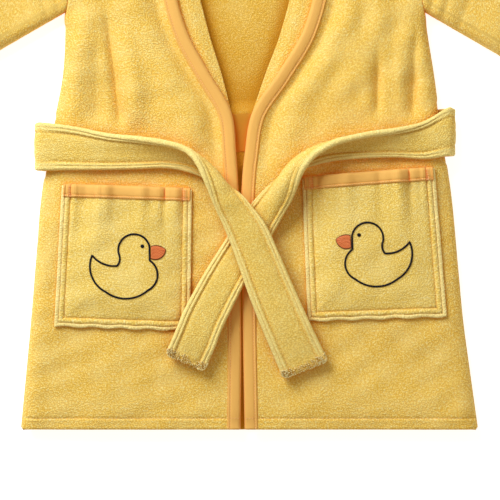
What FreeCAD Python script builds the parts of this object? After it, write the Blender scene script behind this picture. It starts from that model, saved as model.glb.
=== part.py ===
"""Hooded terry bathrobe for a small child, laid flat on its back, tied by crossing its belt in front.

All sizes are in millimetres. X runs across the robe, Y from the hem to the hood and Z up from the
surface that the robe lies on. Left is -X and right is +X, as seen from above with the hood away.
While it is drawn, Y is measured from the hem; save() moves the origin to the middle of the base.
"""
import FreeCAD
import Part
import math
import os
from FreeCAD import Vector

# Cloth and loft
CLOTH = 4.0            # terry with its pile
LOFT = 12.0            # free height between the back and the fronts
FRONT_BOTTOM = CLOTH + LOFT
FRONT_TOP = FRONT_BOTTOM + CLOTH
SEAM_Z = 10.0          # height of the side seams
GAP = 0.5              # clearance between pieces that move apart
SMALL_GAP = 0.3

# Body outline, right half: (x, y)
HEM = (226.0, 0.0)
ARMPIT = (178.0, 420.0)
SHOULDER = (165.0, 548.0)
NECK = (80.0, 562.0)
LENGTH = 818.0         # hem to the top of the hood
FOLD_OUTER_Y = 392.0   # where the opening front folds, at the side seam
FOLD_INNER_Y = 328.0   # and at the front edge

# Front edge, right half: straight up to the waist, then it curves out to the neck
EDGE_X = 2.7
EDGE_STRAIGHT = (0.0, 120.0, 200.0)
EDGE_CURVE = [(EDGE_X, 235.0), (5.5, 275.0), (12.0, 318.0), (36.5, 358.0), (61.0, 403.0),
              (75.0, 465.0), (80.0, 562.0)]
FACING_CURVE = [(11.0, 320.0), (22.0, 357.0), (37.0, 402.0), (50.0, 460.0), (56.0, 545.0)]
BINDING_WIDTH = 12.0
TAPE = 1.2             # thickness of the cotton binding
FACING_COVER = 22.0    # how far the facing runs on under the front

# Tapes inside the back: across the waist, over the neck seam, the hanging loop and the care label
WAIST_TAPE_HALF = 19.0
WAIST_TAPE_REACH = 176.0
WAIST_TAPE_RISE = 6.0  # how far its middle lies above the middle of the belt
WAIST_TAPE_THICK = 1.0
NECK_TAPE_X = 76.0
NECK_TAPE_Y = (548.0, 558.0)
HANGER_X = 30.0
HANGER_FOOT = 8.0      # length of each sewn end
HANGER_BEND = 12.0     # from each end to where the loop lies level
HANGER_Y = NECK_TAPE_Y
HANGER_RISE = 9.0
HANGER_THICK = 1.5
LABEL_X = 17.0
LABEL_Y = (512.0, 548.0)
LABEL_THICK = 0.8

# Sleeves
SLEEVE_TOP = 225.0
SLEEVE_END = 105.0
SLEEVE_DROP = math.radians(30.0)
CUFF_BAND = 14.0

# Hood, right half of its outline above the neck
HOOD_BASE_Y = NECK[1] + GAP
HOOD_SIDE = [(84.0, HOOD_BASE_Y), (116.0, 610.0), (128.0, 680.0), (112.0, 750.0), (66.0, 802.0)]
HOOD_OPENING = [(72.0, HOOD_BASE_Y), (80.0, 620.0), (80.0, 690.0), (52.0, 755.0)]
HOOD_OPENING_TOP = 780.0
SIDE_STEP = 1.0        # how far a cutting face reaches below the hood's lower edge
TOOL_HEIGHT = 50.0     # height of a cutting block that passes right through the cloth
TOOL_REACH = 400.0     # size of a cutting block that passes right across a piece
OVERRUN = 30.0         # how far a cutting line runs on past the cloth

# Belt
BELT_WIDTH = 43.0
BELT_THICK = 6.0
BEND_RADIUS = 10.0     # at the middle of the belt, where it goes round the side
BEND_X = 200.0
BEND_Z = 14.0
BELT_BACK_Z = BEND_Z - BEND_RADIUS
BELT_LEFT_Y = 283.5
BELT_RIGHT_Y = 300.0
CHANNEL_MARGIN = 5.0
CHANNEL_TOP = 7.5
BELT_STEPS = 2         # stations between two points of a belt end's route
LOOP_WIDTH = 11.0
LOOP_X = 178.0

# Pockets: middle, size and tilt of each
POCKET_SIZE = (136.0, 143.0)
POCKET_LIFT = 6.0      # free height inside a pocket
POCKET_CLOTH = 3.0
POCKETS = {"left": (-122.0, 174.0, -1.0), "right": (130.5, 182.0, 3.5)}
POCKET_TOP = FRONT_TOP + POCKET_LIFT + POCKET_CLOTH
THREAD = 1.0           # height of the embroidery
THREAD_WIDTH = 2.0
DUCK_BEAK = ((23.0, 20.0), (23.5, 6.0))    # top and bottom of the line where the beak begins
DUCK_EYE = (16.0, 20.0, 1.9)               # x, y and radius
# Arcs of the outline, from the top of the beak round the head, back, tail and breast to its bottom:
# where two arcs meet, a point half way along the next one, and so on
DUCK_LINE = [DUCK_BEAK[0], (8.0, 32.0), (-7.5, 12.0), (-6.5, 5.0), (-9.0, 0.0), (-22.0, 1.5), (-34.0, 10.0),
             (-34.0, -11.0), (-20.0, -26.0), (0.0, -32.5), (22.0, -24.0), (31.5, -10.0), DUCK_BEAK[1]]
BEAK_TIP = (39.0, 16.5)
BEAK_ROOT_Y = (20.0, 8.0)
BEAK_UPPER, BEAK_LOWER = (32.0, 20.6), (34.0, 8.5)   # half way along its upper and lower edges
DUCK_SHIFT = {"left": (3.5, -10.0), "right": (0.0, -6.0)}


def prism(points, low, high):
    """A straight-sided block over a polygon."""
    wire = Part.makePolygon([Vector(x, y, low) for x, y in points + points[:1]])
    return Part.Face(wire).extrude(Vector(0, 0, high - low))


def spline(points, z=0.0):
    curve = Part.BSplineCurve()
    curve.interpolate([Vector(x, y, z) for x, y in points])
    return curve


def offset_points(curve, distance, count=14):
    """Points beside a curve in the XY plane, on its right as it runs up the robe."""
    first, last = curve.FirstParameter, curve.LastParameter
    points = []
    for i in range(count + 1):
        at = first + (last - first) * i / count
        tangent = curve.tangent(at)[0]
        point = curve.value(at)
        points.append((point.x + tangent.y * distance, point.y - tangent.x * distance))
    return points


def strip(inner, outer, low, high):
    """A flat band between two curves that both run up the robe."""
    a, b = spline(inner).toShape(), spline(outer).toShape()
    lower = Part.makeLine(Vector(*inner[0], 0), Vector(*outer[0], 0))
    upper = Part.makeLine(Vector(*outer[-1], 0), Vector(*inner[-1], 0))
    face = Part.Face(Part.Wire(Part.__sortEdges__([a, upper, b, lower])))
    face.translate(Vector(0, 0, low))
    return face.extrude(Vector(0, 0, high - low))


def mirrored(shape):
    return shape.mirror(Vector(0, 0, 0), Vector(1, 0, 0))


def shifted_line(start, end, distance):
    """The same line, moved to its left."""
    along = Vector(end[0] - start[0], end[1] - start[1], 0).normalize()
    dx, dy = -along.y * distance, along.x * distance
    return (start[0] + dx, start[1] + dy), (end[0] + dx, end[1] + dy)


def wall(start, end, thick, low, high):
    """An upright wall on the left of a line."""
    a, b = shifted_line(start, end, thick)
    return prism([start, end, b, a], low, high)


def strap(stations, thick):
    """A flat strap through stations of (top edge, bottom edge, how far its middle hangs behind them)."""
    count = 4
    rows = []
    for i, (top, bottom, cup) in enumerate(stations):
        before, after = stations[max(i - 1, 0)], stations[min(i + 1, len(stations) - 1)]
        along = (after[0] + after[1] - before[0] - before[1]).normalize()
        normal = along.cross(top - bottom).normalize()
        front, back = [], []
        for k in range(count + 1):
            w = k / count
            point = bottom + (top - bottom) * w - normal * (4 * cup * w * (1 - w))
            slope = (top - bottom) - normal * (4 * cup * (1 - 2 * w))
            up = along.cross(slope).normalize() * (thick / 2)
            front.append(point + up)
            back.append(point - up)
        rows.append(back + front[::-1])
    loops = [rows[0][::-1], rows[-1]]
    for near, far in zip(rows, rows[1:]):
        for k in range(len(near)):
            after = (k + 1) % len(near)
            if k <= count:
                loops += [[near[k], near[after], far[after]], [near[k], far[after], far[k]]]
            else:
                loops += [[near[k], near[after], far[k]], [near[after], far[after], far[k]]]
    faces = [Part.Face(Part.makePolygon(loop + loop[:1])) for loop in loops]
    shell = Part.Shell(faces)
    shell.sewShape()
    return Part.Solid(shell)


def side_x(y):
    """Half the width of the body at the side seam."""
    return HEM[0] + (ARMPIT[0] - HEM[0]) * (y - HEM[1]) / (ARMPIT[1] - HEM[1])


def belt_line(x):
    """The middle of the belt where it crosses the back."""
    return (BELT_RIGHT_Y + BELT_LEFT_Y) / 2 + (BELT_RIGHT_Y - BELT_LEFT_Y) / (2 * BEND_X) * x


# Body

def belt_channel(extra, low, high):
    """The space under the back that the belt lies in."""
    half = BELT_WIDTH / 2 + CHANNEL_MARGIN + extra
    reach = HEM[0] + OVERRUN
    low_y, high_y = belt_line(-reach), belt_line(reach)
    return prism([(-reach, low_y - half), (reach, high_y - half),
                  (reach, high_y + half), (-reach, low_y + half)], low, high)


def body_outline():
    right = [HEM, ARMPIT, SHOULDER, NECK]
    return right + [(-x, y) for x, y in reversed(right)]


def back_panel():
    """The back, raised over the belt, with the lower half of each side."""
    outline = prism(body_outline(), 0, FRONT_TOP)
    sides = wall(HEM, ARMPIT, CLOTH, 0, SEAM_Z - SMALL_GAP)
    shape = prism(body_outline(), 0, CLOTH).fuse([sides, mirrored(sides)])
    cover = belt_channel(CLOTH, CLOTH - 1, CHANNEL_TOP + CLOTH).common(outline)
    front_side = wall(HEM, ARMPIT, CLOTH + SMALL_GAP, SEAM_Z - SMALL_GAP, FRONT_TOP)
    cover = cover.cut([front_side, mirrored(front_side)])
    return shape.fuse(cover).cut(belt_channel(0, -1, CHANNEL_TOP)).removeSplitter()


def front_edge():
    """The right front's edge, from the hem to the neck."""
    return [(EDGE_X, y) for y in EDGE_STRAIGHT] + EDGE_CURVE


def front_half():
    """The whole right front: flat cloth, the upper half of the side and the shoulder."""
    edge = spline(front_edge()).toShape()
    outline = Part.makePolygon([Vector(*p, 0) for p in
                                [NECK, SHOULDER, ARMPIT, HEM, (EDGE_X, 0.0)]])
    face = Part.Face(Part.Wire(Part.__sortEdges__([edge] + outline.Edges)))
    face.translate(Vector(0, 0, FRONT_BOTTOM))
    cloth = face.extrude(Vector(0, 0, CLOTH))
    side = wall(HEM, ARMPIT, CLOTH, SEAM_Z + SMALL_GAP, FRONT_BOTTOM)
    shoulder = wall(SHOULDER, NECK, CLOTH, CLOTH, FRONT_BOTTOM)
    return cloth.fuse([side, shoulder]).removeSplitter()


def fold_line():
    """Across the right front, from beyond the side seam to beyond the front edge."""
    slope = (FOLD_OUTER_Y - FOLD_INNER_Y) / side_x(FOLD_OUTER_Y)
    reach = side_x(FOLD_OUTER_Y) + OVERRUN
    return (reach, FOLD_INNER_Y + slope * reach), (-OVERRUN, FOLD_INNER_Y - slope * OVERRUN)


def split_at_fold(shape):
    """Cuts a front piece where it folds open, and gives its lower and upper parts."""
    start, end = fold_line()
    slab = wall(start, end, GAP, -50, 100)
    solids = shape.cut(slab).Solids
    solids.sort(key=lambda solid: solid.CenterOfMass.y)
    return solids[0], solids[-1]


def front_binding():
    """Cotton tape folded round the right front's edge, from the hem to the neck."""
    curve = spline(front_edge())
    band = strip(offset_points(curve, -TAPE), offset_points(curve, BINDING_WIDTH),
                 FRONT_BOTTOM - TAPE, FRONT_TOP + TAPE)
    return band.cut(front_half())


def front_facing():
    """The terry facing behind the right front's edge, seen in the open neck."""
    curve = spline(FACING_CURVE)
    top = FRONT_BOTTOM - TAPE - SMALL_GAP
    return strip(FACING_CURVE, offset_points(curve, FACING_COVER), top - CLOTH / 2, top)


def waist_tape():
    """A cotton tape across the inside of the back, where the belt loops are sewn."""
    half, reach = WAIST_TAPE_HALF, WAIST_TAPE_REACH
    left_y, right_y = belt_line(-reach) + WAIST_TAPE_RISE, belt_line(reach) + WAIST_TAPE_RISE
    low = CHANNEL_TOP + CLOTH
    return prism([(-reach, left_y - half), (reach, right_y - half), (reach, right_y + half),
                  (-reach, left_y + half)], low, low + WAIST_TAPE_THICK)


def tape_patch(half_x, span_y, thick):
    """A flat piece of tape sewn on the inside of the back."""
    low_y, high_y = span_y
    return prism([(-half_x, low_y), (half_x, low_y), (half_x, high_y), (-half_x, high_y)],
                 CLOTH, CLOTH + thick)


def hanging_loop():
    """A loop of tape at the back of the neck, to hang the robe on a peg."""
    base, top = CLOTH + TAPE, CLOTH + TAPE + HANGER_RISE
    foot, bend = HANGER_X - HANGER_FOOT, HANGER_X - HANGER_BEND
    outer = [(-HANGER_X, base), (-foot, base), (-bend, top - HANGER_THICK),
             (bend, top - HANGER_THICK), (foot, base), (HANGER_X, base), (foot, top), (-foot, top)]
    wire = Part.makePolygon([Vector(x, HANGER_Y[0], z) for x, z in outer + outer[:1]])
    return Part.Face(wire).extrude(Vector(0, HANGER_Y[1] - HANGER_Y[0], 0))


# Pockets and their embroidery

def on_pocket(shape, side):
    """Moves a piece drawn about a pocket's middle onto that pocket."""
    x, y, tilt = POCKETS[side]
    shape.rotate(Vector(0, 0, 0), Vector(0, 0, 1), tilt)
    shape.translate(Vector(x, y, 0))
    return shape


def pocket():
    """A patch pocket, sewn down on three sides and open towards the hood."""
    half_x, half_y = POCKET_SIZE[0] / 2, POCKET_SIZE[1] / 2
    box = Part.makeBox(2 * half_x, 2 * half_y, POCKET_LIFT + POCKET_CLOTH,
                       Vector(-half_x, -half_y, FRONT_TOP))
    hollow = Part.makeBox(2 * (half_x - POCKET_CLOTH), 2 * half_y, POCKET_LIFT,
                          Vector(-half_x + POCKET_CLOTH, -half_y + POCKET_CLOTH, FRONT_TOP))
    return box.cut(hollow)


def pocket_binding():
    """Cotton tape folded over the mouth of a pocket."""
    half_x, half_y = POCKET_SIZE[0] / 2, POCKET_SIZE[1] / 2
    low = POCKET_TOP - POCKET_CLOTH - TAPE
    block = Part.makeBox(2 * half_x, BINDING_WIDTH + TAPE, POCKET_TOP + TAPE - low,
                         Vector(-half_x, half_y - BINDING_WIDTH, low))
    return block.cut(pocket())


def arc(start, middle, end):
    return Part.Arc(Vector(*start, 0), Vector(*middle, 0), Vector(*end, 0)).toShape()


def duck_outline():
    """The stitched outline of a plain bath duck, facing right."""
    edges = [arc(*three) for three in zip(DUCK_LINE[0::2], DUCK_LINE[1::2], DUCK_LINE[2::2])]
    edges.append(Part.makeLine(Vector(*DUCK_BEAK[1], 0), Vector(*DUCK_BEAK[0], 0)))
    wire = Part.Wire(edges)
    outer = Part.Face(wire.makeOffset2D(THREAD_WIDTH / 2, 0))
    inner = Part.Face(wire.makeOffset2D(-THREAD_WIDTH / 2, 0))
    return outer.cut(inner)


def raised(face):
    face.translate(Vector(0, 0, POCKET_TOP))
    return face.extrude(Vector(0, 0, THREAD))


def duck_beak():
    root_x = DUCK_BEAK[0][0] + THREAD_WIDTH / 2 + GAP
    top, bottom = (root_x, BEAK_ROOT_Y[0]), (root_x, BEAK_ROOT_Y[1])
    edges = [arc(top, BEAK_UPPER, BEAK_TIP), arc(BEAK_TIP, BEAK_LOWER, bottom),
             Part.makeLine(Vector(*bottom, 0), Vector(*top, 0))]
    return Part.Face(Part.Wire(edges))


def duck_eye():
    return Part.Face(Part.Wire(Part.makeCircle(DUCK_EYE[2], Vector(*DUCK_EYE[0:2], 0))))


def on_duck(face, side):
    """Places a piece of the duck: each duck faces the middle of the robe."""
    shape = raised(face)
    if side == "right":
        shape = mirrored(shape)
    shape.translate(Vector(*DUCK_SHIFT[side], 0))
    return on_pocket(shape, side)


# Sleeves

def sleeve_corners():
    """The right sleeve from above: shoulder, cuff top, cuff bottom and armpit."""
    along = (math.cos(SLEEVE_DROP), -math.sin(SLEEVE_DROP))
    start = (SHOULDER[0] + GAP, SHOULDER[1])
    cuff_top = (start[0] + SLEEVE_TOP * along[0], start[1] + SLEEVE_TOP * along[1])
    cuff_bottom = (cuff_top[0] + SLEEVE_END * along[1], cuff_top[1] - SLEEVE_END * along[0])
    return start, cuff_top, cuff_bottom, (ARMPIT[0] + GAP, ARMPIT[1])


def sleeve_tube():
    shoulder, cuff_top, cuff_bottom, armpit = sleeve_corners()
    tube = prism([shoulder, cuff_top, cuff_bottom, armpit], 0, FRONT_TOP)
    upper = shifted_line(shoulder, cuff_top, -CLOTH)
    lower = shifted_line(armpit, cuff_bottom, CLOTH)
    ends = []
    for a, b in (upper, lower):
        overrun = OVERRUN / math.dist(a, b)
        dx, dy = (b[0] - a[0]) * overrun, (b[1] - a[1]) * overrun
        ends.append(((a[0] - dx, a[1] - dy), (b[0] + dx, b[1] + dy)))
    (a, b), (c, d) = ends
    return tube.cut(prism([a, b, d, c], CLOTH, FRONT_BOTTOM))


def sleeve_and_cuff():
    """The right sleeve, and the cotton band that finishes its end."""
    shoulder, cuff_top, cuff_bottom, armpit = sleeve_corners()
    along = Vector(math.cos(SLEEVE_DROP), -math.sin(SLEEVE_DROP), 0)
    back = [(p[0] - along.x * CUFF_BAND, p[1] - along.y * CUFF_BAND) for p in (cuff_top, cuff_bottom)]
    across = Vector(back[0][0] - back[1][0], back[0][1] - back[1][1], 0).normalize()
    far = [(back[0][0] + across.x * TOOL_REACH, back[0][1] + across.y * TOOL_REACH),
           (back[1][0] - across.x * TOOL_REACH, back[1][1] - across.y * TOOL_REACH)]
    beyond = [(x + along.x * TOOL_REACH, y + along.y * TOOL_REACH) for x, y in far]
    end_block = prism([far[0], far[1], beyond[1], beyond[0]], -1, FRONT_TOP + 1)
    tube = sleeve_tube()
    return tube.cut(end_block), tube.common(end_block)


# Hood

def hood_face(side, top):
    """A face under a curve that is mirrored about the middle of the hood."""
    points = side + [(0.0, top)] + [(-x, y) for x, y in reversed(side)]
    curve = spline(points).toShape()
    base = Part.makeLine(Vector(-side[0][0], side[0][1], 0), Vector(side[0][0], side[0][1], 0))
    return Part.Face(Part.Wire([curve, base]))


def opening_face(offset, z):
    """The hood's face opening, made larger by an offset."""
    side = [(x + offset, y - SIDE_STEP) for x, y in HOOD_OPENING]
    face = hood_face(side, HOOD_OPENING_TOP + offset)
    face.translate(Vector(0, 0, z))
    return face


def hood_pieces():
    """The hood's right side, and the tape round the face opening."""
    tool = Vector(0, 0, TOOL_HEIGHT)
    outline = hood_face(HOOD_SIDE, LENGTH)
    hollow = hood_face([(x - CLOTH, y - SIDE_STEP) for x, y in HOOD_SIDE], LENGTH - CLOTH)
    hollow.translate(Vector(0, 0, CLOTH))
    bag = outline.extrude(Vector(0, 0, FRONT_TOP))
    bag = bag.cut([hollow.extrude(Vector(0, 0, LOFT)),
                   opening_face(0, FRONT_BOTTOM - CLOTH).extrude(tool)])
    right = bag.common(Part.makeBox(LENGTH, LENGTH, TOOL_HEIGHT))
    band = opening_face(BINDING_WIDTH, FRONT_BOTTOM - TAPE).extrude(Vector(0, 0, CLOTH + 2 * TAPE))
    below = Part.makeBox(LENGTH, LENGTH, TOOL_HEIGHT, Vector(-LENGTH / 2, HOOD_BASE_Y - LENGTH, 0))
    band = band.cut([bag, opening_face(-TAPE, 0).extrude(tool), below])
    return right, band


# Belt

def belt_bend(y, angles):
    """Stations of the belt where it goes round the left side, at angles from straight out."""
    half = Vector(0, BELT_WIDTH / 2, 0)
    stations = []
    for degrees in angles:
        turn = math.radians(degrees)
        middle = Vector(-BEND_X - BEND_RADIUS * math.cos(turn), y, BEND_Z + BEND_RADIUS * math.sin(turn))
        stations.append((middle + half, middle - half, 0))
    return stations


def belt_back():
    """The stretch of belt under the back, round to the middle of both sides."""
    angles = (-2, -6, -30, -60, -90)
    left, right = belt_bend(BELT_LEFT_Y, angles), belt_bend(BELT_RIGHT_Y, angles)
    right = [(Vector(-top.x, top.y, top.z), Vector(-bottom.x, bottom.y, bottom.z), cup)
             for top, bottom, cup in right]
    return strap(left + right[::-1], BELT_THICK)


def belt_end(y, route):
    """A free end of the belt on the left: round the side, over the front, half a twist, the tail."""
    bend = belt_bend(y, (2, 6, 30, 60, 90))
    route = bend[-1:] + [(Vector(*row[0:3]), Vector(*row[3:6]), row[6]) for row in route]
    edges = []
    for side in (0, 1):
        edge = Part.BSplineCurve()
        edge.interpolate([station[side] for station in route], Parameters=list(range(len(route))))
        edges.append(edge)
    stations = list(bend)
    for i in range(1, BELT_STEPS * (len(route) - 1) + 1):
        at = i / BELT_STEPS
        knot = min(int(at), len(route) - 2)
        cup = route[knot][2] + (route[knot + 1][2] - route[knot][2]) * (at - knot)
        stations.append((edges[0].value(at), edges[1].value(at), cup))
    return strap(stations, BELT_THICK)


# The belt's ends lie half twisted: the edge that is at the top along the waist rises, comes over the
# other and becomes the outer edge of the tail. Each row is x, y, z of that edge, x, y, z of the other
# edge, and how far the middle hangs behind them. The right end, drawn on the left and then mirrored,
# lies under the left one.
LEFT_ROUTE = [(-170, 300.5, 26, -172, 259.5, 24.5, 1), (-137, 296.3, 32, -137, 259.7, 25, 3),
              (-107, 292.3, 39, -107, 260.5, 25.5, 5), (-81, 287.5, 44, -84, 261.4, 26, 7),
              (-62, 281, 48, -68, 260, 26, 9), (-52.5, 272.5, 51, -56, 257, 26, 11),
              (-46, 261, 52, -47, 254, 25.5, 12), (-41.5, 249.8, 51, -36, 249.5, 25.5, 12),
              (-37.5, 240, 48, -24, 244, 26.5, 11), (-34, 231.3, 45, -12, 238, 28, 9),
              (-29, 220, 42, -2, 232, 34, 6), (-24.1, 209.6, 40, 7, 223, 36.5, 3.5),
              (-15.4, 188.9, 38, 21, 205, 38.5, 2.5), (-6, 163, 37.5, 34, 177, 37, 1.5),
              (5, 131.3, 37, 44, 148.8, 36, 0.5), (21, 91.5, 34, 60, 109.5, 34, 0.5),
              (38.5, 51.5, 27.5, 79.5, 67.5, 27.5, 0)]
RIGHT_ROUTE = [(-178, 308.5, 27, -180, 270.5, 24.5, 1), (-149.8, 300.7, 38, -149.8, 272, 25, 4),
               (-124.3, 295.6, 44, -120, 271.2, 26, 7), (-96.2, 287.9, 48, -96, 269.4, 26.5, 10),
               (-81, 280.5, 50.5, -82, 267.3, 26, 11), (-70, 272.5, 52, -71, 264.5, 25.5, 12),
               (-62, 263, 51.5, -58, 260.5, 25.5, 12), (-56, 251.6, 47, -44, 253.5, 25.5, 12),
               (-51.5, 240, 42, -33, 248, 26, 11), (-46.5, 229, 37, -23, 241.5, 26, 8),
               (-40, 217.5, 32.5, -12.5, 232.5, 26, 5), (-33, 205, 29.5, -3, 222, 26, 3),
               (-23, 187, 27, 12, 202, 26, 1.5), (-11, 166, 27, 27, 179, 27, 0.5),
               (4, 139, 31.5, 42, 155, 32, 0), (21, 104.5, 33.5, 60, 122, 34.5, 0),
               (30, 82, 33, 70, 98, 34, 0), (40.5, 59, 28, 79.5, 76, 28, 0)]


def belt_loop(x_sign):
    """A narrow tape that holds the belt up against the back, near a side seam."""
    x = x_sign * LOOP_X
    half = BELT_WIDTH / 2 + 2 * GAP
    y, side = belt_line(x) - half, HANGER_THICK
    outer = Part.makeBox(LOOP_WIDTH, 2 * (half + side), CHANNEL_TOP,
                         Vector(x - LOOP_WIDTH / 2, y - side, 0))
    inner = Part.makeBox(LOOP_WIDTH + 2, 2 * half, CHANNEL_TOP,
                         Vector(x - LOOP_WIDTH / 2 - 1, y, LABEL_THICK))
    return outer.cut(inner)


# Assembly

def save(name, shape):
    """Writes one piece, in the part's own frame."""
    shape = shape.copy()
    shape.translate(Vector(0, -LENGTH / 2, 0))
    solids = shape.Solids
    good = all(s.isValid() and s.Volume > 0 for s in solids)
    print(f"{name:26s} solids {len(solids)} volume {shape.Volume / 1000:8.2f} cm3 {'' if good else 'BAD'}")
    if len(solids) == 1:
        shape = solids[0]
    shape.exportStep(f"parts/{name}.step")


def save_both(name, right_shape):
    """Writes a right-hand piece and its mirror image."""
    save(f"right_{name}", right_shape)
    save(f"left_{name}", mirrored(right_shape))


def main():
    os.makedirs("parts", exist_ok=True)
    save("back_panel", back_panel())
    panel, chest = split_at_fold(front_half())
    save_both("front_panel", panel)
    save_both("front_chest", chest)
    lower, upper = split_at_fold(front_binding())
    save_both("front_binding", lower)
    save_both("neck_binding", upper)
    save_both("front_facing", front_facing())
    save("back_waist_tape", waist_tape())
    save("neck_tape", tape_patch(NECK_TAPE_X, NECK_TAPE_Y, TAPE))
    save("hanging_loop", hanging_loop())
    save("neck_label", tape_patch(LABEL_X, LABEL_Y, LABEL_THICK))
    for side in POCKETS:
        save(f"{side}_pocket", on_pocket(pocket(), side))
        save(f"{side}_pocket_binding", on_pocket(pocket_binding(), side))
        save(f"{side}_duck_outline", on_duck(duck_outline(), side))
        save(f"{side}_duck_beak", on_duck(duck_beak(), side))
        save(f"{side}_duck_eye", on_duck(duck_eye(), side))
    sleeve, cuff = sleeve_and_cuff()
    save_both("sleeve", sleeve)
    save_both("cuff_band", cuff)
    hood, opening_tape = hood_pieces()
    save_both("hood_side", hood)
    save("hood_binding", opening_tape)
    save("belt_back", belt_back())
    save("left_belt_end", belt_end(BELT_LEFT_Y, LEFT_ROUTE))
    save("right_belt_end", mirrored(belt_end(BELT_RIGHT_Y, RIGHT_ROUTE)))
    save("left_belt_loop", belt_loop(-1))
    save("right_belt_loop", belt_loop(1))


main()
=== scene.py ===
import math

import bpy
import numpy as np
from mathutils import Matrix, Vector


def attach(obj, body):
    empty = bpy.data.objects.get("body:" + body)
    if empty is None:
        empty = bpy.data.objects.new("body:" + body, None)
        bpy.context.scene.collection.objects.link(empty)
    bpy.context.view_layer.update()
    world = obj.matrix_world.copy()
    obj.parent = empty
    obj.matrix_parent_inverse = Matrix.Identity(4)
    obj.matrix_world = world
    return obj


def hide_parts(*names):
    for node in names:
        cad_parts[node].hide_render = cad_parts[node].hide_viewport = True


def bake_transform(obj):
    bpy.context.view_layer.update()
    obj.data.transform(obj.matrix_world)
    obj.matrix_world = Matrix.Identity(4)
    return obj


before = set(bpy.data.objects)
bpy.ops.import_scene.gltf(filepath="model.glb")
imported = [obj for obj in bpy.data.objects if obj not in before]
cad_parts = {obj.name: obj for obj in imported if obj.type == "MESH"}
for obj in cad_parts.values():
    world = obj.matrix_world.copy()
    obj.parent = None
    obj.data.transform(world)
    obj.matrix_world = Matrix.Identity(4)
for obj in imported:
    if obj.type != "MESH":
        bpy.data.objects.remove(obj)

# A child's hooded terry bathrobe, laid flat on its back with its belt crossed in front. Lengths are in
# millimetres, with y measured from the hem, until place() turns them into metres.

MM = 0.001
MIDDLE = 409.0           # from the hem to the middle of the whole robe
CLOTH = 4.0              # terry with its pile
FRONT_Z = 18.0           # middle of the fronts' cloth
BACK_Z = 2.0             # middle of the back's cloth
SEAM_Z = 10.0            # where front and back meet
HEM_X, ARMPIT, SHOULDER, NECK = 226.0, (178.0, 420.0), (165.0, 548.0), (80.0, 562.0)
HEM_BAND = 11.0          # the hem's fold, with its seam
BACK_LOWER = 0.8         # how much lower the back's hem is than the fronts'
BINDING = 11.6
BINDING_SEAM = 2.35      # from a binding's own edge to its stitches
PILE = 0.16              # roughness of the terry's loops
POCKET_CLOTH = 3.0
POCKET_WIDTH = 136.0
BELT = 43.0              # width
CENTRE_BACK_Y = 291.75   # middle of the belt at the middle of the back
LEFT, RIGHT = -1, 1

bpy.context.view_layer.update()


# ---------------------------------------------------------------- numbers and curves

def smooth(value, start, end):
    """0 before start, 1 after end, and a smooth step between."""
    f = np.clip((value - start) / (end - start), 0, 1)
    return f * f * (3 - 2 * f)


def bump(value, middle, width):
    return np.exp(-((value - middle) / width) ** 2)


def through(rows, at):
    """A smooth curve through rows of numbers; at runs from 0 to the last row's number."""
    rows = np.asarray(rows, float)
    at = np.asarray(at, float)
    ends = np.vstack([2 * rows[0] - rows[1], rows, 2 * rows[-1] - rows[-2]])
    i = np.clip(at.astype(int), 0, len(rows) - 2)
    f = (at - i)[..., None]
    a, b, c, d = ends[i], ends[i + 1], ends[i + 2], ends[i + 3]
    return b + 0.5 * f * (c - a + f * (2 * a - 5 * b + 4 * c - d + f * (3 * (b - c) + d - a)))


def curve_of(rows):
    """The first column of a curve as a function of the second, for curves that run up the robe."""
    line = through(rows, np.linspace(0, len(rows) - 1, 60 * len(rows)))
    return lambda y: np.interp(y, line[:, 1], line[:, 0])


def resample(line, step):
    """Points at even distances along a line, and those distances."""
    length = distances(line)
    at = np.linspace(0, length[-1], max(2, int(round(length[-1] / step)) + 1))
    return np.stack([np.interp(at, length, line[:, k]) for k in range(line.shape[1])], 1), at


def spaced(length, step, edges=(0, 0.35, 0.9, 1.7, 2.8)):
    """Positions from 0 to 1 across a cloth, closer together at its rounded edges."""
    edges = np.asarray(edges)
    count = max(2, int((length - 2 * edges[-1]) / step))
    inner = np.linspace(edges[-1], length - edges[-1], count)
    return np.concatenate([edges[:-1], inner, length - edges[:-1][::-1]]) / length


def swell(x, y, size, seed):
    """Soft random waves, from -1 to 1, of about one size."""
    rng = np.random.default_rng(seed)
    total = 0
    for _ in range(7):
        turn, phase = rng.uniform(0, 2 * math.pi, 2)
        k = 2 * math.pi / (size * rng.uniform(0.7, 1.6))
        total = total + np.sin(k * (x * math.cos(turn) + y * math.sin(turn)) + phase)
    return total / 4.0


def unit(vectors):
    return vectors / np.maximum(np.linalg.norm(vectors, axis=-1, keepdims=True), 1e-9)


def direction(line):
    """The unit vector along a line at each of its points."""
    return unit(np.gradient(line, axis=0))


def distances(line):
    """How far along a line each of its points is."""
    return np.concatenate([[0], np.cumsum(np.linalg.norm(np.diff(line, axis=0), axis=1))])


def everywhere(vector, line):
    """The same vector at each point of a line."""
    return np.tile(vector, (len(line), 1))


def round_turns(count):
    """Angles spread evenly round a circle."""
    return np.linspace(0, 2 * math.pi, count, endpoint=False)


def between_corners(corners, a, b):
    """A point between four corners: a from the left edge to the right, b from the bottom to the top."""
    tl, tr, br, bl = (np.array(c, float) for c in corners)
    a, b = np.asarray(a, float)[..., None], np.asarray(b, float)[..., None]
    return (bl * (1 - a) + br * a) * (1 - b) + (tl * (1 - a) + tr * a) * b


def label(side):
    return "left" if side == LEFT else "right"


def mirror(points, side):
    """Points drawn for the right-hand side, or their mirror image for the left."""
    return points * np.array([side, 1.0, 1.0])


# ---------------------------------------------------------------- meshes

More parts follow.
